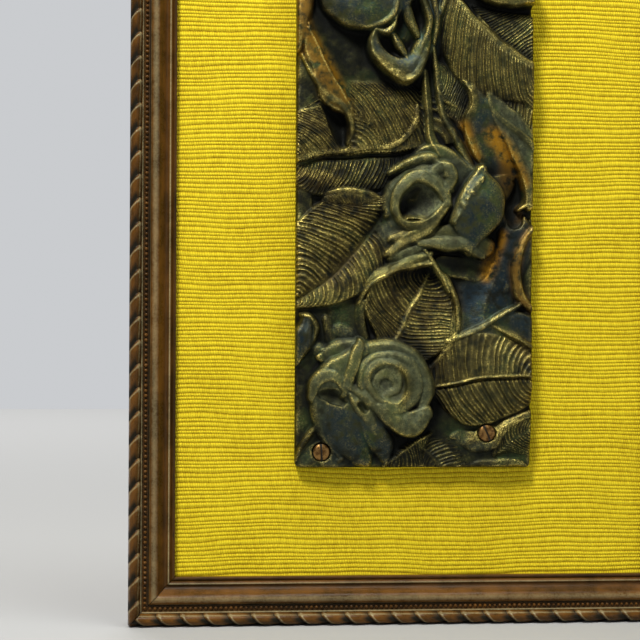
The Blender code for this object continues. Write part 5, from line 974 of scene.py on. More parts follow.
@dataclass(frozen=True)
class Bronze(Finish):
    """Cast bronze under a dark patina, rubbed bright on its ridges, with painted highlights, painted blue reflections
    and painted shade in its hollows.
    """

    name: str = "patinated_bronze"
    preview: Colour = (0.07, 0.07, 0.04)
    dark: Colour = (0.0100, 0.0115, 0.0075)
    olive: Colour = (0.078, 0.080, 0.022)
    # painted reflection of blue light
    reflected_teal: Colour = (0.0080, 0.0230, 0.0360)
    verdigris: Colour = (0.026, 0.066, 0.018)
    russet: Colour = (0.430, 0.200, 0.007)
    # pale, moss and lichen paint light on lit faces
    pale: Colour = (0.160, 0.178, 0.074)
    moss: Colour = (0.036, 0.048, 0.016)
    lichen: Colour = (0.190, 0.200, 0.045)
    # rubbed brass, also used for painted highlights
    brass: Colour = (0.82, 0.66, 0.19)
    # near black: dark patina and painted shade in hollows
    grime_and_shade: Colour = (0.0030, 0.0036, 0.0024)

    def shade(self, graph: Graph) -> dict:
        """The Principled shader's inputs."""
        place = graph.place()
        broad = graph.noise(place, 0.016, 3.0)
        patch = graph.noise(place, 0.0045, 4.0, 0.6)
        grain = graph.noise(place, 0.0007, 3.0, 0.7)
        ridge, crest, hollow, high, pale, ribs = (
            graph.attribute(name) for name in ("ridge", "crest", "hollow", "high", "pale", "ribs"))
        rib = ((graph.attribute("phase") * (2 * math.pi)).fn("COSINE") * 0.5 + 0.5) ** 2.2 * ribs
        colour = graph.mix((patch * 0.9 + broad * 0.7 + high * 0.35).step(0.62, 1.25), self.dark, self.olive)
        # painted reflection: teal where the blue weight marks faces that reflect blue light
        colour = graph.mix(graph.attribute("blue") * patch.step(0.30, 0.60) * 0.85, colour, self.reflected_teal)
        green = broad.step(0.48, 0.66) * grain.step(0.35, 0.6) * 0.7
        colour = graph.mix(green, colour, self.verdigris)
        colour = graph.mix(graph.attribute("rust") * patch.step(0.34, 0.56) * 0.95, colour, self.russet)
        # painted light: pale colour on faces with the pale weight, stronger on high parts and lighter still on ridges
        streak = graph.noise(place, 0.0021, 5.0, 0.68)
        lit_colour = graph.mix(streak.step(0.44, 0.56), self.moss, self.pale)
        lit_colour = graph.mix((ridge * 0.7 + broad.step(0.50, 0.62) * 0.45).clip(), lit_colour, self.lichen)
        colour = graph.mix(pale * (0.35 + high * 0.6) * patch.step(0.25, 0.62), colour, lit_colour)
        # rubbed brass on crests, ribs and gold marks: partly real wear, partly painted highlights
        worn_and_lit = grain.step(0.42, 0.62) * (patch * 0.7 + broad * 0.8).step(0.60, 0.94)
        rubbed_and_highlit = (ridge * 0.22 + crest * 0.62 + rib * 0.52) * (0.05 + worn_and_lit * 1.5)
        rubbed_and_highlit = (rubbed_and_highlit + graph.attribute("gold") * worn_and_lit * 0.45).clip() * (1 - hollow * 0.85)
        colour = graph.mix(rubbed_and_highlit, colour, self.brass)
        # dark patina and painted shade in the hollows and between the ribs
        sunk = (hollow * 1.05 + (ribs - rib) * 0.6).clip()
        colour = graph.mix(sunk, colour, self.grime_and_shade)
        relief = grain * (0.7 + pale * 0.8) + patch * 0.5 + rib * 2.0
        return {
            "Base Color": colour,
            "Metallic": (0.80 - pale * high * 0.55 + rubbed_and_highlit * 0.3).clip(),
            "Roughness": (0.44 - rubbed_and_highlit * 0.10 + sunk * 0.2 + (grain - 0.5) * 0.45).clip(),
            "Normal": graph.bump(relief, 0.00028),
        }


class Grain(Enum):
    """The way wood grain runs, as the scale of a pattern along X, Y and Z."""

    ACROSS = (0.07, 1.0, 1.0)
    UPRIGHT = (1.0, 1.0, 0.07)


@dataclass(frozen=True)
class Walnut(Finish):
    """Dark walnut stain with a worn satin polish, its rubbed bands also painted highlights and its creases and shaded
    parts painted shade.
    """

    name: str = "walnut"
    preview: Colour = (0.05, 0.025, 0.014)
    grain: Grain = Grain.ACROSS
    dark: Colour = (0.052, 0.023, 0.0045)
    red: Colour = (0.140, 0.057, 0.0085)
    bare: Colour = (0.46, 0.41, 0.220)
    dust_and_shade: Colour = (0.012, 0.009, 0.0035)

    def shade(self, graph: Graph) -> dict:
        """The Principled shader's inputs."""
        run = graph.stretched(graph.place(), self.grain.value)
        figure = graph.noise(run, 0.0060, 4.0, 0.6)
        pores = graph.noise(run, 0.0006, 2.0, 0.6)
        mottle = graph.noise(graph.place(), 0.009, 3.0, 0.6)
        scuff = graph.noise(graph.place(), 0.0011, 3.0, 0.7)
        colour = graph.mix((figure * 0.7 + mottle * 0.6).step(0.48, 0.82), self.dark, self.red)
        # rubbed wear and painted highlights in the bare colour
        rub = (graph.attribute("rub") * (scuff * 0.9 + mottle * 0.6) - 0.22).clip()
        colour = graph.mix(rub, colour, self.bare)
        # dark pores and creases, with painted shade on the rope's outer half, the sight lip and the channel
        crease = graph.attribute("crease")
        colour = graph.mix((crease + pores.step(0.60, 0.75) * 0.5).clip(), colour, self.dust_and_shade)
        return {
            "Base Color": colour,
            "Roughness": (0.30 + (scuff - 0.5) * 0.25 + crease * 0.3 + (mottle - 0.5) * 0.2).clip(),
            "Specular IOR Level": 0.16,
            "Normal": graph.bump(pores * -0.6 + figure * 0.5 + scuff * 0.4, 0.00012),
        }


@dataclass(frozen=True)
class RibbedCloth(Finish):
    """Golden furnishing cloth: thick wavy ribs wrapped by fine upright threads. Its map is in metres."""

    name: str = "ribbed_cloth"
    preview: Colour = (0.62, 0.47, 0.03)
    rib: float = 0.00202
    thread: float = 0.00115
    light: Colour = (0.84, 0.66, 0.022)
    middle: Colour = (0.62, 0.44, 0.010)
    shadow: Colour = (0.20, 0.115, 0.003)

    def shade(self, graph: Graph) -> dict:
        """The Principled shader's inputs."""
        spot = graph.node("ShaderNodeUVMap", {"uv_map": "weave"})
        across = graph.node("ShaderNodeSeparateXYZ", None, {0: spot}, "X")
        row = graph.attribute("row")
        wander = graph.noise(graph.stretched(spot, (1.0, 0.35, 1.0)), 0.003, 2.0)
        column = (across / self.thread) + row.fn("FLOOR") * 0.37 + wander * 0.9
        cell = graph.node("ShaderNodeCombineXYZ", None, {0: column.fn("FLOOR"), 1: row.fn("FLOOR")})
        chance = graph.node("ShaderNodeTexWhiteNoise", {"noise_dimensions": "2D"}, {"Vector": cell}, "Value")
        round_thread = ((column.fn("FRACT") - 0.5) * 2).fn("ABSOLUTE")
        thread = 1 - round_thread ** 2.5
        round_rib = ((row.fn("FRACT") - 0.5) * 2).fn("ABSOLUTE")
        body = 1 - round_rib ** 3.0
        broad = graph.noise(spot, 0.028, 3.0)
        slub = graph.noise(graph.stretched(spot, (0.10, 1.0, 1.0)), 0.0018, 2.0)
        tone = body * 0.66 + thread * 0.24 + (chance - 0.5) * 0.20 + (slub - 0.5) * 0.30 + (broad - 0.5) * 0.25
        colour = graph.mix(tone.step(0.05, 0.52), self.shadow, self.middle)
        colour = graph.mix(tone.step(0.46, 0.98), colour, self.light)
        return {
            "Base Color": colour,
            "Roughness": 0.85,
            "Specular IOR Level": 0.12,
            "Normal": graph.bump(thread * (0.4 + body * 0.6) + chance * 0.2, 0.00022),
        }


@dataclass(frozen=True)
class Brass(Finish):
    """Tarnished screw brass with fine scratches."""

    name: str = "tarnished_brass"
    preview: Colour = (0.42, 0.22, 0.06)
    bright: Colour = (0.30, 0.165, 0.050)
    dull: Colour = (0.11, 0.050, 0.014)
    dark_tone: Colour = (0.02, 0.014, 0.006)

    def shade(self, graph: Graph) -> dict:
        """The Principled shader's inputs."""
        place = graph.place()
        patch = graph.noise(place, 0.0016, 4.0, 0.6)
        fine = graph.noise(graph.stretched(place, (0.2, 1.0, 1.0)), 0.00022, 2.0)
        slot = graph.attribute("slot")
        colour = graph.mix(patch.step(0.38, 0.62), self.dull, self.bright)
        # darker in the slot and along fine streaks
        colour = graph.mix((slot + fine.step(0.60, 0.80) * 0.35).clip(), colour, self.dark_tone)
        return {
            "Base Color": colour,
            "Metallic": 0.85 - slot * 0.6,
            "Roughness": (0.36 + (patch - 0.5) * 0.3 + slot * 0.3).clip(),
            "Normal": graph.bump(fine * 0.6 + patch, 0.00006),
        }


@dataclass(frozen=True)
class Pine(Finish):
    """Plain softwood board, darkened with age."""

    name: str = "pine_board"
    preview: Colour = (0.36, 0.24, 0.13)
    early: Colour = (0.42, 0.28, 0.15)
    late: Colour = (0.25, 0.135, 0.06)
    stain: Colour = (0.13, 0.085, 0.05)

    def shade(self, graph: Graph) -> dict:
        """The Principled shader's inputs."""
        place = graph.place()
        run = graph.stretched(place, (1.0, 1.0, 0.05))
        sway = graph.noise(run, 0.012, 2.0)
        across = graph.node("ShaderNodeSeparateXYZ", None, {0: place}, "X")
        rings = ((across * 950.0 + sway * 26.0).fn("SINE") * 0.5 + 0.5) ** 2.5
        fibre = graph.noise(run, 0.0004, 2.0, 0.7)
        age = graph.noise(place, 0.05, 4.0)
        colour = graph.mix(rings * 0.8 + (fibre - 0.5) * 0.5, self.early, self.late)
        colour = graph.mix(age.step(0.45, 0.75) * 0.7, colour, self.stain)
        return {
            "Base Color": colour,
            "Roughness": (0.72 + (fibre - 0.5) * 0.3).clip(),
            "Normal": graph.bump(fibre + rings * 0.5, 0.00012),
        }


@dataclass(frozen=True)
class PlatedSteel(Finish):
    """Zinc-plated steel gone dull, with specks of rust."""

    name: str = "plated_steel"
    preview: Colour = (0.45, 0.44, 0.42)
    plate: Colour = (0.50, 0.49, 0.46)
    dull: Colour = (0.28, 0.275, 0.26)
    rust: Colour = (0.20, 0.075, 0.025)

    def shade(self, graph: Graph) -> dict:
        """The Principled shader's inputs."""
        place = graph.place()
        patch = graph.noise(place, 0.004, 4.0, 0.6)
        speck = graph.noise(place, 0.0009, 3.0, 0.7)
        scratch = graph.noise(graph.stretched(place, (0.1, 1.0, 1.0)), 0.0004, 2.0)
        rust = speck.step(0.60, 0.72) * patch.step(0.40, 0.60)
        colour = graph.mix(patch.step(0.35, 0.65), self.plate, self.dull)
        colour = graph.mix(rust, colour, self.rust)
        return {
            "Base Color": colour,
            "Metallic": 0.95 - rust * 0.8,
            "Roughness": (0.34 + (scratch - 0.5) * 0.3 + rust * 0.4).clip(),
            "Normal": graph.bump(scratch + speck * 0.6, 0.00005),
        }


@dataclass(frozen=True)
class Plaster(Finish):
    """The studio floor: matt, pale and plain."""

    name: str = "studio_floor"
    preview: Colour = (0.42, 0.42, 0.415)

    def shade(self, graph: Graph) -> dict:
        """The Principled shader's inputs."""
        return {"Base Color": (*self.preview, 1.0), "Roughness": 0.85}


def new_piece(name: str, vertices: Array, faces: Sequence, smooth: bool = True) -> Piece:
    """Makes an object from points and faces in metres.

    Args:
        name: The piece's name.
        vertices: Its points.
        faces: Its faces, as point numbers.
        smooth: Whether it is shaded smooth.

    Returns:
        The object, linked to the scene.
    """
    mesh = bpy.data.meshes.new(name)
    mesh.from_pydata(np.asarray(vertices).tolist(), [], faces.tolist() if isinstance(faces, np.ndarray) else faces)
    mesh.update()
    piece = bpy.data.objects.new(name, mesh)
    bpy.context.scene.collection.objects.link(piece)
    if smooth:
        mesh.polygons.foreach_set("use_smooth", np.ones(len(mesh.polygons), bool))
    return piece


def points_of(piece: Piece) -> Array:
    """A mesh's points."""
    flat = np.empty(len(piece.data.vertices) * 3, np.float32)
    piece.data.vertices.foreach_get("co", flat)
    return flat.reshape(-1, 3).astype(float)


def store(piece: Piece, name: str, values: Array) -> None:
    """Keeps one number for each point of a mesh."""
    layer = piece.data.attributes.get(name) or piece.data.attributes.new(name, "FLOAT", "POINT")
    layer.data.foreach_set("value", np.asarray(values, np.float32).ravel())


def bake(piece: Piece) -> None:
    """Turns a piece's modifiers into its plain mesh and removes them."""
    graph = bpy.context.evaluated_depsgraph_get()
    made = bpy.data.meshes.new_from_object(piece.evaluated_get(graph), preserve_all_data_layers=True, depsgraph=graph)
    piece.modifiers.clear()
    old = piece.data
    piece.data = made
    bpy.data.meshes.remove(old)


@contextmanager
def reshaping(piece: Piece) -> Iterator[bmesh.types.BMesh]:
    """Opens a piece's mesh for changes and puts it back afterwards."""
    bm = bmesh.new()
    bm.from_mesh(piece.data)
    yield bm
    bm.to_mesh(piece.data)
    bm.free()


def turn_outwards(bm: bmesh.types.BMesh) -> None:
    """Turns every face to look out of its solid."""
    bmesh.ops.recalc_face_normals(bm, faces=bm.faces)


def quads(index: Array) -> Array:
    """The faces between neighbours in a grid of point numbers."""
    return np.stack([index[:-1, :-1], index[:-1, 1:], index[1:, 1:], index[1:, :-1]], -1).reshape(-1, 4)


def block(name: str, low: Sequence[float], high: Sequence[float]) -> Piece:
    """A plain box between two opposite corners."""
    corners = [(x, y, z) for x in (low[0], high[0]) for y in (low[1], high[1]) for z in (low[2], high[2])]
    sides = [(0, 1, 3, 2), (4, 6, 7, 5), (0, 4, 5, 1), (2, 3, 7, 6), (0, 2, 6, 4), (1, 5, 7, 3)]
    return new_piece(name, corners, sides, smooth=False)


def cut_out(piece: Piece, cutter: Piece) -> None:
    """Takes the shape of a cutter out of a piece and removes the cutter."""
    cut = piece.modifiers.new("cut", "BOOLEAN")
    cut.operation = "DIFFERENCE"
    cut.solver = "EXACT"
    cut.object = cutter
    bake(piece)
    bpy.data.objects.remove(cutter)


def triangles(piece: Piece) -> int:
    """Number of triangles of a mesh."""
    return sum(len(polygon.vertices) - 2 for polygon in piece.data.polygons)


def hand_over(piece: Piece, nodes: Sequence[str]) -> None:
    """Lets a finished piece stand for its parts of the fixed frame.

    Args:
        piece: The piece.
        nodes: The parts that it replaces.
    """
    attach(piece, "root")
    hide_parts(*nodes)
    LOG.info("%s: %d triangles for %s", piece.name, triangles(piece), ", ".join(nodes))


@dataclass
class ShapeTree:
    """A Geometry Nodes tree with named inputs.

    Attributes:
        name: Its name.
        graph: Its nodes.
        start: The node that gives its inputs.
    """

    name: str
    graph: Graph = field(init=False)
    start: bpy.types.Node = field(init=False)

    def __post_init__(self) -> None:
        """Makes the empty tree."""
        tree = bpy.data.node_groups.new(self.name, "GeometryNodeTree")
        tree.interface.new_socket(name="Geometry", in_out="INPUT", socket_type="NodeSocketGeometry")
        tree.interface.new_socket(name="Geometry", in_out="OUTPUT", socket_type="NodeSocketGeometry")
        self.graph = Graph(tree)
        self.start = tree.nodes.new("NodeGroupInput")

    def input(self, name: str, kind: str = "Float") -> Wire:
        """Adds a named input of a kind such as Float, Int, Object or Material."""
        self.graph.tree.interface.new_socket(name=name, in_out="INPUT", socket_type=f"NodeSocket{kind}")
        return Wire(self.graph, self.start.outputs[name])

    def keep(self, shape: Wire, name: str, value: Wire | float) -> Wire:
        """Stores a number on each point of a shape."""
        inputs = {"Geometry": shape, "Name": name, "Value": value}
        return self.graph.node("GeometryNodeStoreNamedAttribute", {"data_type": "FLOAT", "domain": "POINT"}, inputs)

    def close(self, shape: Wire, finish: Wire) -> None:
        """Ends the tree in plain geometry that wears a finish."""
        real = self.graph.node("GeometryNodeRealizeInstances", None, {"Geometry": shape})
        dressed = self.graph.node("GeometryNodeSetMaterial", None, {"Geometry": real, "Material": finish})
        self.graph.node("NodeGroupOutput", None, {"Geometry": dressed})

    def grow(self, piece: Piece, values: dict) -> None:
        """Runs the tree on a piece and keeps the result as its mesh.

        Args:
            piece: The piece.
            values: The tree's inputs by name.
        """
        modifier = piece.modifiers.new(self.name, "NODES")
        modifier.node_group = self.graph.tree
        for item in self.graph.tree.interface.items_tree:
            if item.in_out == "INPUT" and item.name in values:
                modifier[item.identifier] = values[item.name]
        bake(piece)


@dataclass
class Relief:
    """The cast bronze panel.

    Attributes:
        triangles: Triangles left on its carved front.
        corner: Rounding of its outline, in metres.
        foot: Height of the square foot round its back, in metres.
        bare: Height above the back up to which the patina is plain, in metres.
        unit: The most that one unit of height stands for, in metres.
        edge: Depth and breadth of its edge's rounding, in sheet units.
        counterbore: Radius of the sinkings for the screw heads, in metres.
        sinkings: Each sinking's place on the sheet and the height of its floor.
        finish: Its patina, with painted light.
    """

    triangles: int = 178_000
    corner: float = 0.0024
    foot: float = 0.0012
    bare: float = 0.0020
    unit: float = 0.001
    edge: tuple[float, float] = (1.0, 2.2)
    counterbore: float = 0.0045
    sinkings: Sequence = ((320, 452.5, 5.8), (486, 433.5, 7.0), (316, -96, 5.8), (506, -95, 5.8))
    finish: Bronze = Bronze()
    low: Vector = field(init=False)
    high: Vector = field(init=False)
    carving: Carving = field(init=False)

    def __post_init__(self) -> None:
        """Finds the casting's place and carves its sheet."""
        self.low, self.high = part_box("relief")
        self.carving = Carving()
        for form in FORMS:
            self.carving.raise_form(form)
        for patch in PATCHES:
            self.carving.stain(patch)
        self.carving.settle()
        self.sink()

    @property
    def scale(self) -> float:
        """Metres in one sheet unit."""
        return (self.high.x - self.low.x) / SHEET_WIDTH

    def sink(self) -> None:
        """Cuts the sinkings for the screws and rounds the casting's edge."""
        c = self.carving
        for x, y, floor in self.sinkings:
            distance = np.hypot(c.x - x, c.y - y) - self.counterbore / self.scale
            share = ease(-0.6, 0.6, -distance)
            c.height = c.height * (1 - share) + np.minimum(c.height, floor) * share
        inset = np.minimum(np.minimum(c.x - SHEET_LEFT, SHEET_LEFT + SHEET_WIDTH - c.x),
                           np.minimum(c.y - SHEET_TOP, SHEET_TOP + SHEET_HEIGHT - c.y))
        c.height = c.height - self.edge[0] * np.clip(1 - inset / self.edge[1], 0, 1) ** 2

    def to_space(self, x: Array, y: Array, height: Array) -> Array:
        """Places on the sheet as points in metres."""
        rise = min((self.high.y - self.low.y) / SHEET_DEPTH, self.unit)
        return np.stack([self.low.x + (x - SHEET_LEFT) * self.scale, self.high.y - height * rise,
                         self.high.z - (y - SHEET_TOP) * self.scale], -1)

    def build(self) -> Piece:
        """Makes the casting's mesh and its patina maps."""
        c = self.carving
        faces = quads(np.arange(c.x.size).reshape(c.x.shape))[:, (0, 3, 2, 1)]
        x, y = self.rounded(c.x.ravel(), c.y.ravel())
        piece = new_piece("relief_casting", self.to_space(x, y, c.height.ravel()), faces)
        thin = piece.modifiers.new("thin", "DECIMATE")
        thin.ratio = self.triangles / (2 * len(faces))
        bake(piece)
        self.close(piece)
        self.map_patina(piece)
        self.finish.wear_on(piece)
        hand_over(piece, ["relief"])
        return piece

    def rounded(self, x: Array, y: Array) -> tuple[Array, Array]:
        """Draws the sheet's corners in to their rounding."""
        corner = self.corner / self.scale
        middle = (SHEET_LEFT + SHEET_WIDTH / 2, SHEET_TOP + SHEET_HEIGHT / 2)
        dx = np.abs(x - middle[0]) - (SHEET_WIDTH / 2 - corner)
        dy = np.abs(y - middle[1]) - (SHEET_HEIGHT / 2 - corner)
        reach = np.hypot(dx, dy)
        over = (dx > 0) & (dy > 0) & (reach > corner)
        draw = np.where(over, corner / np.maximum(reach, 1e-9), 1.0)
        x = np.where(over, middle[0] + np.sign(x - middle[0]) * (SHEET_WIDTH / 2 - corner + dx * draw), x)
        y = np.where(over, middle[1] + np.sign(y - middle[1]) * (SHEET_HEIGHT / 2 - corner + dy * draw), y)
        return x, y

    def close(self, piece: Piece) -> None:
        """Adds the casting's edges and its flat back."""
        with reshaping(piece) as bm:
            for back in (self.high.y - self.foot, self.high.y):
                rim = [edge for edge in bm.edges if edge.is_boundary]
                made = bmesh.ops.extrude_edge_only(bm, edges=rim)["geom"]
                for vert in (item for item in made if isinstance(item, bmesh.types.BMVert)):
                    vert.co.y = back
            rim = [edge for edge in bm.edges if edge.is_boundary]
            for face in bmesh.ops.contextual_create(bm, geom=rim)["faces"]:
                face.smooth = False
            turn_outwards(bm)
            bmesh.ops.triangulate(bm, faces=[face for face in bm.faces if len(face.verts) > 4])
        piece.data.set_sharp_from_angle(angle=math.radians(62))

    def map_patina(self, piece: Piece) -> None:
        """Stores what the patina and its painted light and shade follow: ridges, hollows, ribs and tones."""
        c = self.carving
        points = points_of(piece)
        x = SHEET_LEFT + (points[:, 0] - self.low.x) / self.scale
        y = SHEET_TOP + (self.high.z - points[:, 2]) / self.scale
        inside = points[:, 1] < self.high.y - self.bare

        def keep(name: str, grid: Array) -> None:
            """Stores one map, nothing on the back and the edges."""
            store(piece, name, c.read(grid, x, y) * inside)

        smooth = {spread: blur(c.height, spread / c.step) for spread in (0.9, 2.4, 7.0, 16.0)}
        keep("crest", np.clip((c.height - smooth[0.9]) / 0.22, 0, 1))
        keep("ridge", np.clip((smooth[0.9] - smooth[2.4]) / 0.75, 0, 1))
        # the hollow map marks where dark patina and painted shade go
        near = (smooth[7.0] - smooth[0.9] - 0.25) / 1.8
        wide = (smooth[16.0] - smooth[2.4] - 0.6) / 3.0
        keep("hollow", np.clip(np.maximum(near, wide), 0, 1))
        keep("high", ease(7.5, 15.5, smooth[2.4]))
        keep("phase", c.phase)
        keep("ribs", np.clip(c.ribs / 0.8, 0, 1))
        # the blue, pale and gold weights carry painted reflection, painted light, and rubbed brass with painted
        # highlights
        for k, name in enumerate(("blue", "rust", "pale", "gold")):
            keep(name, c.tone[..., k])


@dataclass
class Screws:
    """Slotted screws with low domed heads.

    Attributes:
        radius: Radius of the head.
        rim: Height of its upright rim.
        dome: Rise of its dome.
        shank: Radius of the shank.
        tip: Radius and length of the shank's tip.
        slot: Width and depth of the slot.
        bevel: Width of the softened edges.
        around: Number of points round a screw.
        turns: Each screw's node with the turn of its slot in degrees.
        finish: Their metal.
    """

    radius: float = 0.0039
    rim: float = 0.0013
    dome: float = 0.0009
    shank: float = 0.0020
    tip: tuple[float, float] = (0.0007, 0.0020)
    slot: tuple[float, float] = (0.0009, 0.0011)
    bevel: float = 0.00012
    around: int = 56
    turns: Sequence = (("screw_lower_left", 3), ("screw_lower_right", 24), ("screw_upper_left", -38),
                       ("screw_upper_right", 62))
    finish: Brass = Brass()

    def master(self) -> Piece:
        """One turned and slotted screw, its dome's top at the origin, facing -Y."""
        low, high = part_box(self.turns[0][0])
        length = high.y - low.y
        under = self.dome + self.rim
        arc = 1.25
        dome = [(self.radius * math.sin(a), self.dome * (1 - math.cos(a)) / (1 - math.cos(arc)) * 0.92)
                for a in np.linspace(0.02, arc, 9)]
        rim = [(self.radius, dome[-1][1] + 0.0002), (self.radius, under), (self.shank, under)]
        profile = dome + rim + [(self.shank, length - self.tip[1]), (self.tip[0], length)]
        angles = np.linspace(0, 2 * np.pi, self.around, endpoint=False)
        vertices = [(r * math.cos(a), y, r * math.sin(a)) for r, y in profile for a in angles]
        rings = np.arange(len(vertices)).reshape(-1, self.around)
        screw = new_piece("screw_master", vertices, quads(np.column_stack([rings, rings[:, 0]])))
        with reshaping(screw) as bm:
            bmesh.ops.holes_fill(bm, edges=[edge for edge in bm.edges if edge.is_boundary], sides=self.around)
            turn_outwards(bm)
        half, depth = self.slot[0] / 2, self.slot[1]
        cut_out(screw, block("slot_cutter", (-half, -0.003, -0.007), (half, depth, 0.007)))
        soften = screw.modifiers.new("soften", "BEVEL")
        soften.width = self.bevel
        soften.segments = 2
        soften.angle_limit = math.radians(50)
        bake(screw)
        points = points_of(screw)
        within = (np.abs(points[:, 0]) < half * 1.2) & (points[:, 1] > self.dome * 0.3) & (points[:, 1] < depth * 1.1)
        store(screw, "slot", within * 1.0)
        screw.data.set_sharp_from_angle(angle=math.radians(40))
        return screw

    def build(self) -> Piece:
        """Sets a screw at each place."""
        boxes = [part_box(name) for name, _ in self.turns]
        places = [((low.x + high.x) / 2, low.y, (low.z + high.z) / 2) for low, high in boxes]
        piece = new_piece("screws", places, [])
        store(piece, "turn", np.radians([-turn for _, turn in self.turns]))
        master = self.master()
        tree = ShapeTree("screw_set")
        screw = tree.input("Screw", "Object")
        finish = tree.input("Finish", "Material")
        g = tree.graph
        points = Wire(g, tree.start.outputs["Geometry"])
        turn = g.node("GeometryNodeInputNamedAttribute", {"data_type": "FLOAT"}, {"Name": "turn"}, "Attribute")
        spin = g.node("ShaderNodeCombineXYZ", None, {1: turn})
        turned = g.node("FunctionNodeEulerToRotation", None, {0: spin})
        shape = g.node("GeometryNodeObjectInfo", {"transform_space": "ORIGINAL"}, {"Object": screw}, "Geometry")
        each = {"Points": points, "Instance": shape, "Rotation": turned}
        tree.close(g.node("GeometryNodeInstanceOnPoints", None, each), finish)
        tree.grow(piece, {"Screw": master, "Finish": self.finish.material()})
        bpy.data.objects.remove(master)
        hand_over(piece, [name for name, _ in self.turns])
        return piece


@dataclass
class Cloth:
    """Ribbed cloth over the board's front, round its edges and turned in behind.

    Attributes:
        thickness: Its thickness.
        turn: Width of the turn-in on the back.
        rib: Distance from rib to rib.
        swell: Height of a rib.
        under: How far the side turn-ins lie under the others, as a share of the thickness.
        lines: Distance between its upright lines of points, and how many level lines a rib has.
        waves: How the ribs wander: by how many ribs, how fast across and down in radians a metre, and from where.
        finish: Its weave.
    """

    thickness: float = 0.0008
    turn: float = 0.015
    rib: float = 0.00202
    swell: float = 0.00030
    under: float = 0.4
    lines: tuple[float, int] = (0.0060, 6)
    waves: Sequence = ((0.30, 43, 31, 0.0), (0.16, 88, -58, 1.3), (0.07, 230, 140, 0.0), (0.20, 0, 410, 0.0),
                       (0.10, 0, 1130, 0.7))
    finish: RibbedCloth = RibbedCloth()

    def build(self) -> Piece:
        low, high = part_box("backing_cloth")
        middle = (low + high) / 2
        half_w, half_h = (high.x - low.x) / 2, (high.z - low.z) / 2
        depth = high.y - low.y
        columns = self.stations(half_w, depth, self.lines[0])
        rows = self.stations(half_h, depth, self.rib / self.lines[1])
        u, v = np.meshgrid(columns, rows)
        x, back_x = self.fold(u, half_w, depth)
        z, back_z = self.fold(v, half_h, depth)
        behind = np.maximum(back_x, back_z)
        row = v / self.rib + sum(size * np.sin(u * a + v * b + start) for size, a, b, start in self.waves)
        swell = self.swell * (0.5 - 0.5 * np.cos(2 * np.pi * row)) ** 0.7
        front = low.y + self.swell - swell
        under = np.where(np.abs(u) > half_w + depth * 0.99, self.thickness * self.under, 0)
        y = np.where(behind > 0, low.y + behind - under, front)
        vertices = np.stack([middle.x + x, y, middle.z + z], -1).reshape(-1, 3)
        faces = quads(np.arange(u.size).reshape(u.shape))
        piece = new_piece("ribbed_cloth", vertices, self.trim(faces, u, v, half_w, half_h))
        store(piece, "row", row)
        layer = piece.data.uv_layers.new(name="weave")
        loops = np.empty(len(piece.data.loops), np.int32)
        piece.data.loops.foreach_get("vertex_index", loops)
        flat = np.stack([u.ravel(), v.ravel()], -1)[loops]
        layer.data.foreach_set("uv", flat.astype(np.float32).ravel())
        self.finish.wear_on(piece)
        hand_over(piece, ["backing_cloth"])
        return piece

    def stations(self, half: float, depth: float, pitch: float) -> Array:
        """Lines across the cut cloth from edge to edge, closer at its folds."""
        inner = np.linspace(-half, half, int(2 * half / pitch) + 1)
        side = np.linspace(half, half + depth, 5)[1:]
        turned = np.linspace(half + depth, half + depth + self.turn, 5)[1:]
        outer = np.concatenate([side, turned])
        return np.concatenate([-outer[::-1], inner, outer])

    @staticmethod
    def fold(u: Array, half: float, depth: float) -> tuple[Array, Array]:
        """Where a line of the cut lands: its place across and how far behind the front."""
        size = np.abs(u)
        across = np.where(size > half + depth, half - (size - half - depth), np.minimum(size, half))
        behind = np.clip(size - half, 0, depth)
        return np.sign(u) * across, behind

    @staticmethod
    def trim(faces: Array, u: Array, v: Array, half_w: float, half_h: float) -> Array:
        """Leaves out the cut's corners, which are snipped away before it is turned in."""
        middle_u = u.ravel()[faces].mean(1)
        middle_v = v.ravel()[faces].mean(1)
        return faces[~((np.abs(middle_u) > half_w) & (np.abs(middle_v) > half_h))]


class Side(Enum):
    """A rail's side of the frame, as its forward and outward directions across X and Z."""

    BOTTOM = ((1, 0), (0, -1))
    RIGHT = ((0, 1), (1, 0))
    TOP = ((-1, 0), (0, 1))
    LEFT = ((0, -1), (-1, 0))


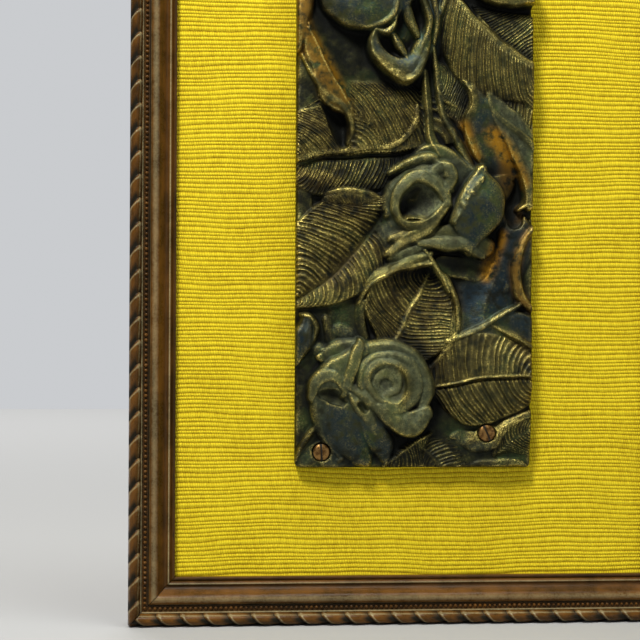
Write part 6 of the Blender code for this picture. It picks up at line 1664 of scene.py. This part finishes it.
@dataclass
class Frame:
    """The walnut frame: four mitred rails with a beaded channel and a roped outer edge.

    Attributes:
        width: Width of the moulding.
        depth: Its depth from the wall.
        channel: Depth of the beaded channel's floor from the wall.
        rope: Width of the rope.
        pitch: Distance from strand to strand.
        lean: How far a strand runs along while it crosses the rope, as a share of the rope's width.
        twist: Depth of the strands.
        step: Distance between the rope's rings of points.
        bead: Distance between the channel's beads and their radius.
        gap: Opening of the mitres.
        recess: Spare room round each hanger let into the back.
        front: Height from the wall above which the moulding gets its rubbed bands, painted highlights and painted
            shade.
        rubbed_and_highlit: Bands worn by dusting that also paint highlights: how much, where outward of the sight
            edge and half how wide.
        shade_bands: Bands of painted shade, likewise.
    """

    width: float = 0.022
    depth: float = 0.022
    channel: float = 0.0172
    rope: float = 0.0058
    pitch: float = 0.0112
    lean: float = 0.85
    twist: float = 0.0014
    step: float = 0.0004
    bead: tuple[float, float] = (0.0024, 0.00088)
    gap: float = 0.0003
    recess: float = 0.0010
    front: float = 0.0120
    # bright bands of rubbed wood that also paint highlights: sight lip, bead crest, slope crest, slope rim and fillet
    rubbed_and_highlit: Sequence = ((0.35, 0.0003, 0.0003), (1.0, 0.0030, 0.0004), (0.62, 0.0098, 0.0020), (0.4, 0.0121, 0.0002),
                        (1.0, 0.0159, 0.0004))
    # painted shade: sight lip, slope foot and the beaded channel
    shade_bands: Sequence = ((0.55, 0.0007, 0.0010), (0.4, 0.0046, 0.0008), (0.8, 0.0125, 0.0004), (0.85, 0.0140, 0.0013))
    tree: ShapeTree = field(init=False)

    def __post_init__(self) -> None:
        """Writes the tree of the roped and beaded edge."""
        self.tree = ShapeTree("roped_edge")
        length, pitch, lean, twist, bead_pitch, bead_radius = (
            self.tree.input(name) for name in ("Length", "Pitch", "Lean", "Twist", "Bead Pitch", "Bead Radius"))
        steps = self.tree.input("Steps", "Int")
        beads = self.tree.input("Beads", "Int")
        finish = self.tree.input("Finish", "Material")
        g = self.tree.graph
        strip = {"Size X": length, "Size Y": 1.0, "Vertices X": steps, "Vertices Y": 33}
        grid = g.node("GeometryNodeMeshGrid", None, strip)
        place = g.node("GeometryNodeInputPosition")
        along = g.node("ShaderNodeSeparateXYZ", None, {0: place}, "X")
        turn = (g.node("ShaderNodeSeparateXYZ", None, {0: place}, "Y") + 0.5) * (2 * math.pi)
        front = (turn / math.pi).least(1.0)
        half = self.rope / 2
        outward = (1 - (front * math.pi).fn("COSINE")) * 0.5
        phase = ((along - lean * self.rope * outward ** 1.7) / pitch).fn("FRACT")
        strand = phase.step(0.0, 0.16) * (1 - phase.step(0.30, 1.04) * 0.85)
        sine = turn.fn("SINE")
        shown = sine.most(0.0) ** 0.5
        drop = (1 - strand) * twist * shown
        rise = sine * (self.depth - self.channel) - drop * 1.2
        low = (sine * 0.0015).least(0.0)
        out = self.width - half - turn.fn("COSINE") * (half - drop * 0.5)
        point = g.node("ShaderNodeCombineXYZ", None, {0: along, 1: out, 2: rise.most(low) + self.channel})
        # painted highlights, stored with the rub: the fillet shoulder, the rope's lit outer flank and each strand's
        # edge line
        shoulder = 1 - ((outward - 0.14).fn("ABSOLUTE") / 0.12).clip()
        flank = 1 - ((outward - 0.92).fn("ABSOLUTE") / 0.16).clip()
        edge = 1 - ((phase - 0.17).fn("ABSOLUTE") / 0.09).clip()
        rub = (edge * 0.85 + shoulder + flank * strand * 0.8).clip() * shown
        # painted shade on the rope's outer half, stored with the dark gaps between strands
        shade = outward.step(0.24, 0.50) * (1 - rub) * 0.84
        creased = self.tree.keep(self.tree.keep(grid, "rub", rub), "crease", (1 - strand * 2.6 + shade).clip())
        shaped = g.node("GeometryNodeSetPosition", None, {"Geometry": creased, "Position": point})
        closed = g.node("GeometryNodeMergeByDistance", None, {"Geometry": shaped, "Distance": 0.00001})
        first = {0: length * -0.5, 1: self.width - self.rope - 0.0021, 2: self.channel - 0.0001}
        start = g.node("ShaderNodeCombineXYZ", None, first)
        offset = g.node("ShaderNodeCombineXYZ", None, {0: bead_pitch})
        line = g.node("GeometryNodeMeshLine", None, {"Count": beads, "Start Location": start, "Offset": offset})
        ball = g.node("GeometryNodeMeshUVSphere", None, {"Segments": 8, "Rings": 5, "Radius": bead_radius})
        glint = self.tree.keep(ball, "rub", 0.12)
        chance = {"Min": 0.82, "Max": 1.08, "Seed": 5}
        size = g.node("FunctionNodeRandomValue", {"data_type": "FLOAT"}, chance, "Value")
        row = g.node("GeometryNodeInstanceOnPoints", None, {"Points": line, "Instance": glint, "Scale": size})
        both = g.node("GeometryNodeJoinGeometry", None, {"Geometry": [closed, row]})
        smooth = g.node("GeometryNodeSetShadeSmooth", None, {"Geometry": both})
        self.tree.close(smooth, finish)

    @property
    def slack(self) -> float:
        """How far a mitre's opening draws a rail back along its length."""
        return self.gap * 0.5 ** 0.5

    def section(self) -> tuple[Array, Array, Array]:
        """The moulding's section without its rope.

        Returns:
            Points (outward, out from the wall), how rubbed and highlit each is and how deep in its crease and painted
            shade.
        """
        w, c, top = self.width, self.channel, self.width - self.rope
        hard = [(w, 0.0012), (w - 0.0012, 0), (0.006, 0), (0.006, 0.0105), (0, 0.0105)]
        lip = curve([(0, 0.0130), (0.0001, 0.0134), (0.0005, 0.01362), (0.0011, 0.0136), (0.0016, 0.0131)], 9)
        bead = curve([(0.0017, 0.0129), (0.0021, 0.0136), (0.0028, 0.01436), (0.0033, 0.0143), (0.0038, 0.0137)], 13)
        slope = curve([(0.0039, 0.0136), (0.0051, 0.0140), (0.0066, 0.0158), (0.0080, 0.01775), (0.0093, 0.0186),
                       (0.0105, 0.0186), (0.0117, 0.0181), (0.0122, 0.0175)], 40)
        floor = curve([(0.0124, c - 0.0001), (0.0130, c - 0.0004), (0.0152, c - 0.0004), (0.0156, c)], 9)
        fillet = curve([(0.01565, c + 0.0002), (0.0158, c + 0.0006), (0.0162, c + 0.0007), (top + 0.0010, c)], 8)
        parts = [np.array(hard), lip, bead, slope, floor, fillet, np.array([(w, c - 0.002)])]
        points = np.vstack(parts)
        s, h = points.T
        # bright bands are rubbed wear and painted highlights, dark bands are painted shade
        rub, crease = (sum(much * np.exp(-((s - spot) / wide) ** 2) for much, spot, wide in bands)
                       for bands in (self.rubbed_and_highlit, self.shade_bands))
        seen = h > self.front
        return points, rub * seen, np.clip(crease, 0, 1) * seen

    def place(self, side: Side, centre: Vector, sight: tuple[float, float], local: Array) -> Array:
        """Points (along, outward, out) of a rail, in space."""
        (px, pz), (sx, sz) = side.value
        outward = local[:, 1] + (sight[0] if sx else sight[1])
        x = centre.x + px * local[:, 0] + sx * outward
        z = centre.z + pz * local[:, 0] + sz * outward
        return np.stack([x, centre.y - local[:, 2], z], -1)

    def body(self, half: float) -> tuple[Array, list, Array, Array]:
        """The plain moulding between its mitres.

        Args:
            half: Half the sight edge's length.

        Returns:
            Its points, faces, rub with painted highlight, and crease with painted shade.
        """
        section, rub, crease = self.section()
        count = len(section)
        ends = half + section[:, 0] - self.slack
        vertices = np.concatenate([np.column_stack([sign * ends, section]) for sign in (-1, 1)])
        k = np.arange(count)
        nxt = (k + 1) % count
        quads = np.stack([k, nxt, nxt + count, k + count], -1).tolist()
        caps = [k[::-1].tolist(), (k + count).tolist()]
        return vertices, quads + caps, np.tile(rub, 2), np.tile(crease, 2)

    def edge(self, name: str, half: float, finish: Walnut) -> Piece:
        """The roped and beaded edge of one rail, still on its own axes, cut at its mitres."""
        piece = new_piece(name, np.zeros((0, 3)), [])
        length = 2 * (half + self.width) + 0.02
        length = 2 * self.pitch * math.ceil(length / self.pitch / 2)
        self.tree.grow(piece, {
            "Length": length,
            "Pitch": self.pitch,
            "Lean": self.lean,
            "Twist": self.twist,
            "Bead Pitch": self.bead[0],
            "Bead Radius": self.bead[1],
            "Steps": int(length / self.step),
            "Beads": int(length / self.bead[0]),
            "Finish": finish.material(),
        })
        with reshaping(piece) as bm:
            for sign in (-1, 1):
                end = Vector((sign * (half - self.slack), 0, 0))
                cut = bmesh.ops.bisect_plane(bm, geom=bm.verts[:] + bm.edges[:] + bm.faces[:], plane_co=end,
                                             plane_no=Vector((sign, -1, 0)), clear_outer=True, dist=1e-7)
                lines = (item for item in cut["geom_cut"] if isinstance(item, bmesh.types.BMEdge))
                bmesh.ops.holes_fill(bm, edges=[line for line in lines if line.is_boundary], sides=0)
            turn_outwards(bm)
        return piece

    def build(self) -> None:
        """Makes the four rails."""
        boxes = {side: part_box(f"frame_rail_{side.name.lower()}") for side in Side}
        low = Vector((boxes[Side.LEFT][0].x, 0, boxes[Side.BOTTOM][0].z))
        high = Vector((boxes[Side.RIGHT][1].x, 0, boxes[Side.TOP][1].z))
        centre = (low + high) / 2
        sight = ((high.x - low.x) / 2 - self.width, (high.z - low.z) / 2 - self.width)
        for side in Side:
            flat = side.value[0][1] == 0
            half = sight[0] if flat else sight[1]
            grain = Grain.ACROSS if flat else Grain.UPRIGHT
            finish = Walnut(name=f"walnut_{grain.name.lower()}", grain=grain)
            name = f"rail_{side.name.lower()}"
            vertices, faces, rub, crease = self.body(half)
            body = new_piece(name, self.place(side, centre, sight, vertices), faces)
            store(body, "rub", rub)
            store(body, "crease", crease)
            finish.wear_on(body)
            if side is Side.TOP:
                for hanger in ("hanger_left", "hanger_right"):
                    self.let_in(body, hanger)
            edge = self.edge(name + "_edge", half, finish)
            local = self.place(side, centre, sight, points_of(edge))
            edge.data.vertices.foreach_set("co", local.astype(np.float32).ravel())
            self.join(body, edge)
            hand_over(body, [f"frame_rail_{side.name.lower()}"])

    def let_in(self, body: Piece, hanger: str) -> None:
        """Cuts the recess of a hanger into the back of its rail.

        Args:
            body: The rail.
            hanger: The hanger's name.
        """
        low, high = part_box(hanger)
        with reshaping(body) as bm:
            turn_outwards(bm)
        low = (low.x - self.recess, low.y - self.gap, low.z - self.recess)
        high = (high.x + self.recess, high.y + self.depth, high.z + self.recess)
        cut_out(body, block("cutter_" + hanger, low, high))

    @staticmethod
    def join(body: Piece, edge: Piece) -> None:
        """Adds the roped edge to its rail and turns every face outwards."""
        with reshaping(body) as bm:
            turn_outwards(bm)
            bm.from_mesh(edge.data)
            turn_outwards(bm)
        body.data.set_sharp_from_angle(angle=math.radians(38))
        bpy.data.objects.remove(edge)


@dataclass
class Backing:
    """What is kept from the fixed frame: the board, the hangers and their nails."""

    board: Pine = Pine()
    steel: PlatedSteel = PlatedSteel()

    def dress(self) -> None:
        """Gives each kept part its finish."""
        for name in frame["nodes"]:
            finish = self.board if name == "backing_board" else self.steel if name.startswith("hanger") else None
            if finish:
                finish.wear_on(bpy.data.objects[name])
                LOG.info("%s: %s", name, finish.name)


@dataclass
class Studio:
    """A pale floor, soft lights and the camera.

    Attributes:
        eye: The camera's place.
        view: Its angle of view in degrees.
        turn: Its pitch upwards, roll and turn to the left in degrees.
        floor: How far the floor reaches each way, and how far it lies under the frame.
        lights: Name, place, aim, size, power and colour of each light.
    """

    eye: tuple[float, float, float] = (-0.1062, -0.7603, -0.2762)
    view: float = 23.2
    turn: tuple[float, float, float] = (0.03, -0.27, -4.68)
    floor: tuple[float, float] = (1.8, 0.0005)
    lights: Sequence = (
        ("key", (-0.45, -0.78, 0.88), (-0.05, 0.0, -0.25), 0.30, 22.0, (1.0, 0.98, 0.94)),
        ("fill", (0.90, -0.80, -0.10), (0.0, 0.0, -0.22), 0.9, 1.6, (0.88, 0.94, 1.0)),
        ("top", (0.10, -0.22, 0.60), (0.0, 0.0, -0.20), 0.35, 3.4, (0.97, 0.99, 0.94)),
        ("back", (-0.40, 1.60, 1.00), (-0.55, 1.7, -0.42), 1.8, 34.0, (1.0, 1.0, 1.0)),
    )

    def build(self) -> None:
        """Sets up the floor, the lights, the world and the camera."""
        size = self.floor[0]
        low = CAD_BOX[0][2] - self.floor[1]
        corners = [(-size, -size, low), (size, -size, low), (size, size, low), (-size, size, low)]
        floor = new_piece("studio_floor", corners, [(0, 1, 2, 3)], smooth=False)
        Plaster().wear_on(floor)
        for name, place, aim, extent, power, colour in self.lights:
            data = bpy.data.lights.new(name, "AREA")
            data.shape = "DISK"
            data.size = extent
            data.energy = power
            data.color = colour
            light = bpy.data.objects.new(name, data)
            light.location = place
            light.rotation_euler = (Vector(aim) - Vector(place)).to_track_quat("-Z", "Y").to_euler()
            bpy.context.scene.collection.objects.link(light)
        world = bpy.data.worlds.new("studio_air")
        world.use_nodes = True
        graph = Graph(world.node_tree)
        seen = graph.node("ShaderNodeLightPath", None, {}, "Is Camera Ray")
        air = graph.node("ShaderNodeBackground", None, {"Color": (0.88, 0.90, 0.93), "Strength": 0.17 + seen * 0.5})
        graph.node("ShaderNodeOutputWorld", None, {"Surface": air})
        bpy.context.scene.world = world
        bpy.context.scene.view_settings.view_transform = "Standard"
        data = bpy.data.cameras.new("camera")
        data.sensor_width = 36.0
        data.lens = data.sensor_width / 2 / math.tan(math.radians(self.view / 2))
        camera = bpy.data.objects.new("camera", data)
        camera.location = self.eye
        camera.rotation_euler = [math.radians(angle) for angle in (90 + self.turn[0], self.turn[1], self.turn[2])]
        bpy.context.scene.collection.objects.link(camera)
        bpy.context.scene.camera = camera


def main() -> None:
    """Builds and dresses the plaque."""
    logging.basicConfig(level=logging.INFO, format="%(name)s: %(message)s")
    Studio().build()
    Relief().build()
    Screws().build()
    Cloth().build()
    Frame().build()
    Backing().dress()


if __name__ == "__main__":
    main()
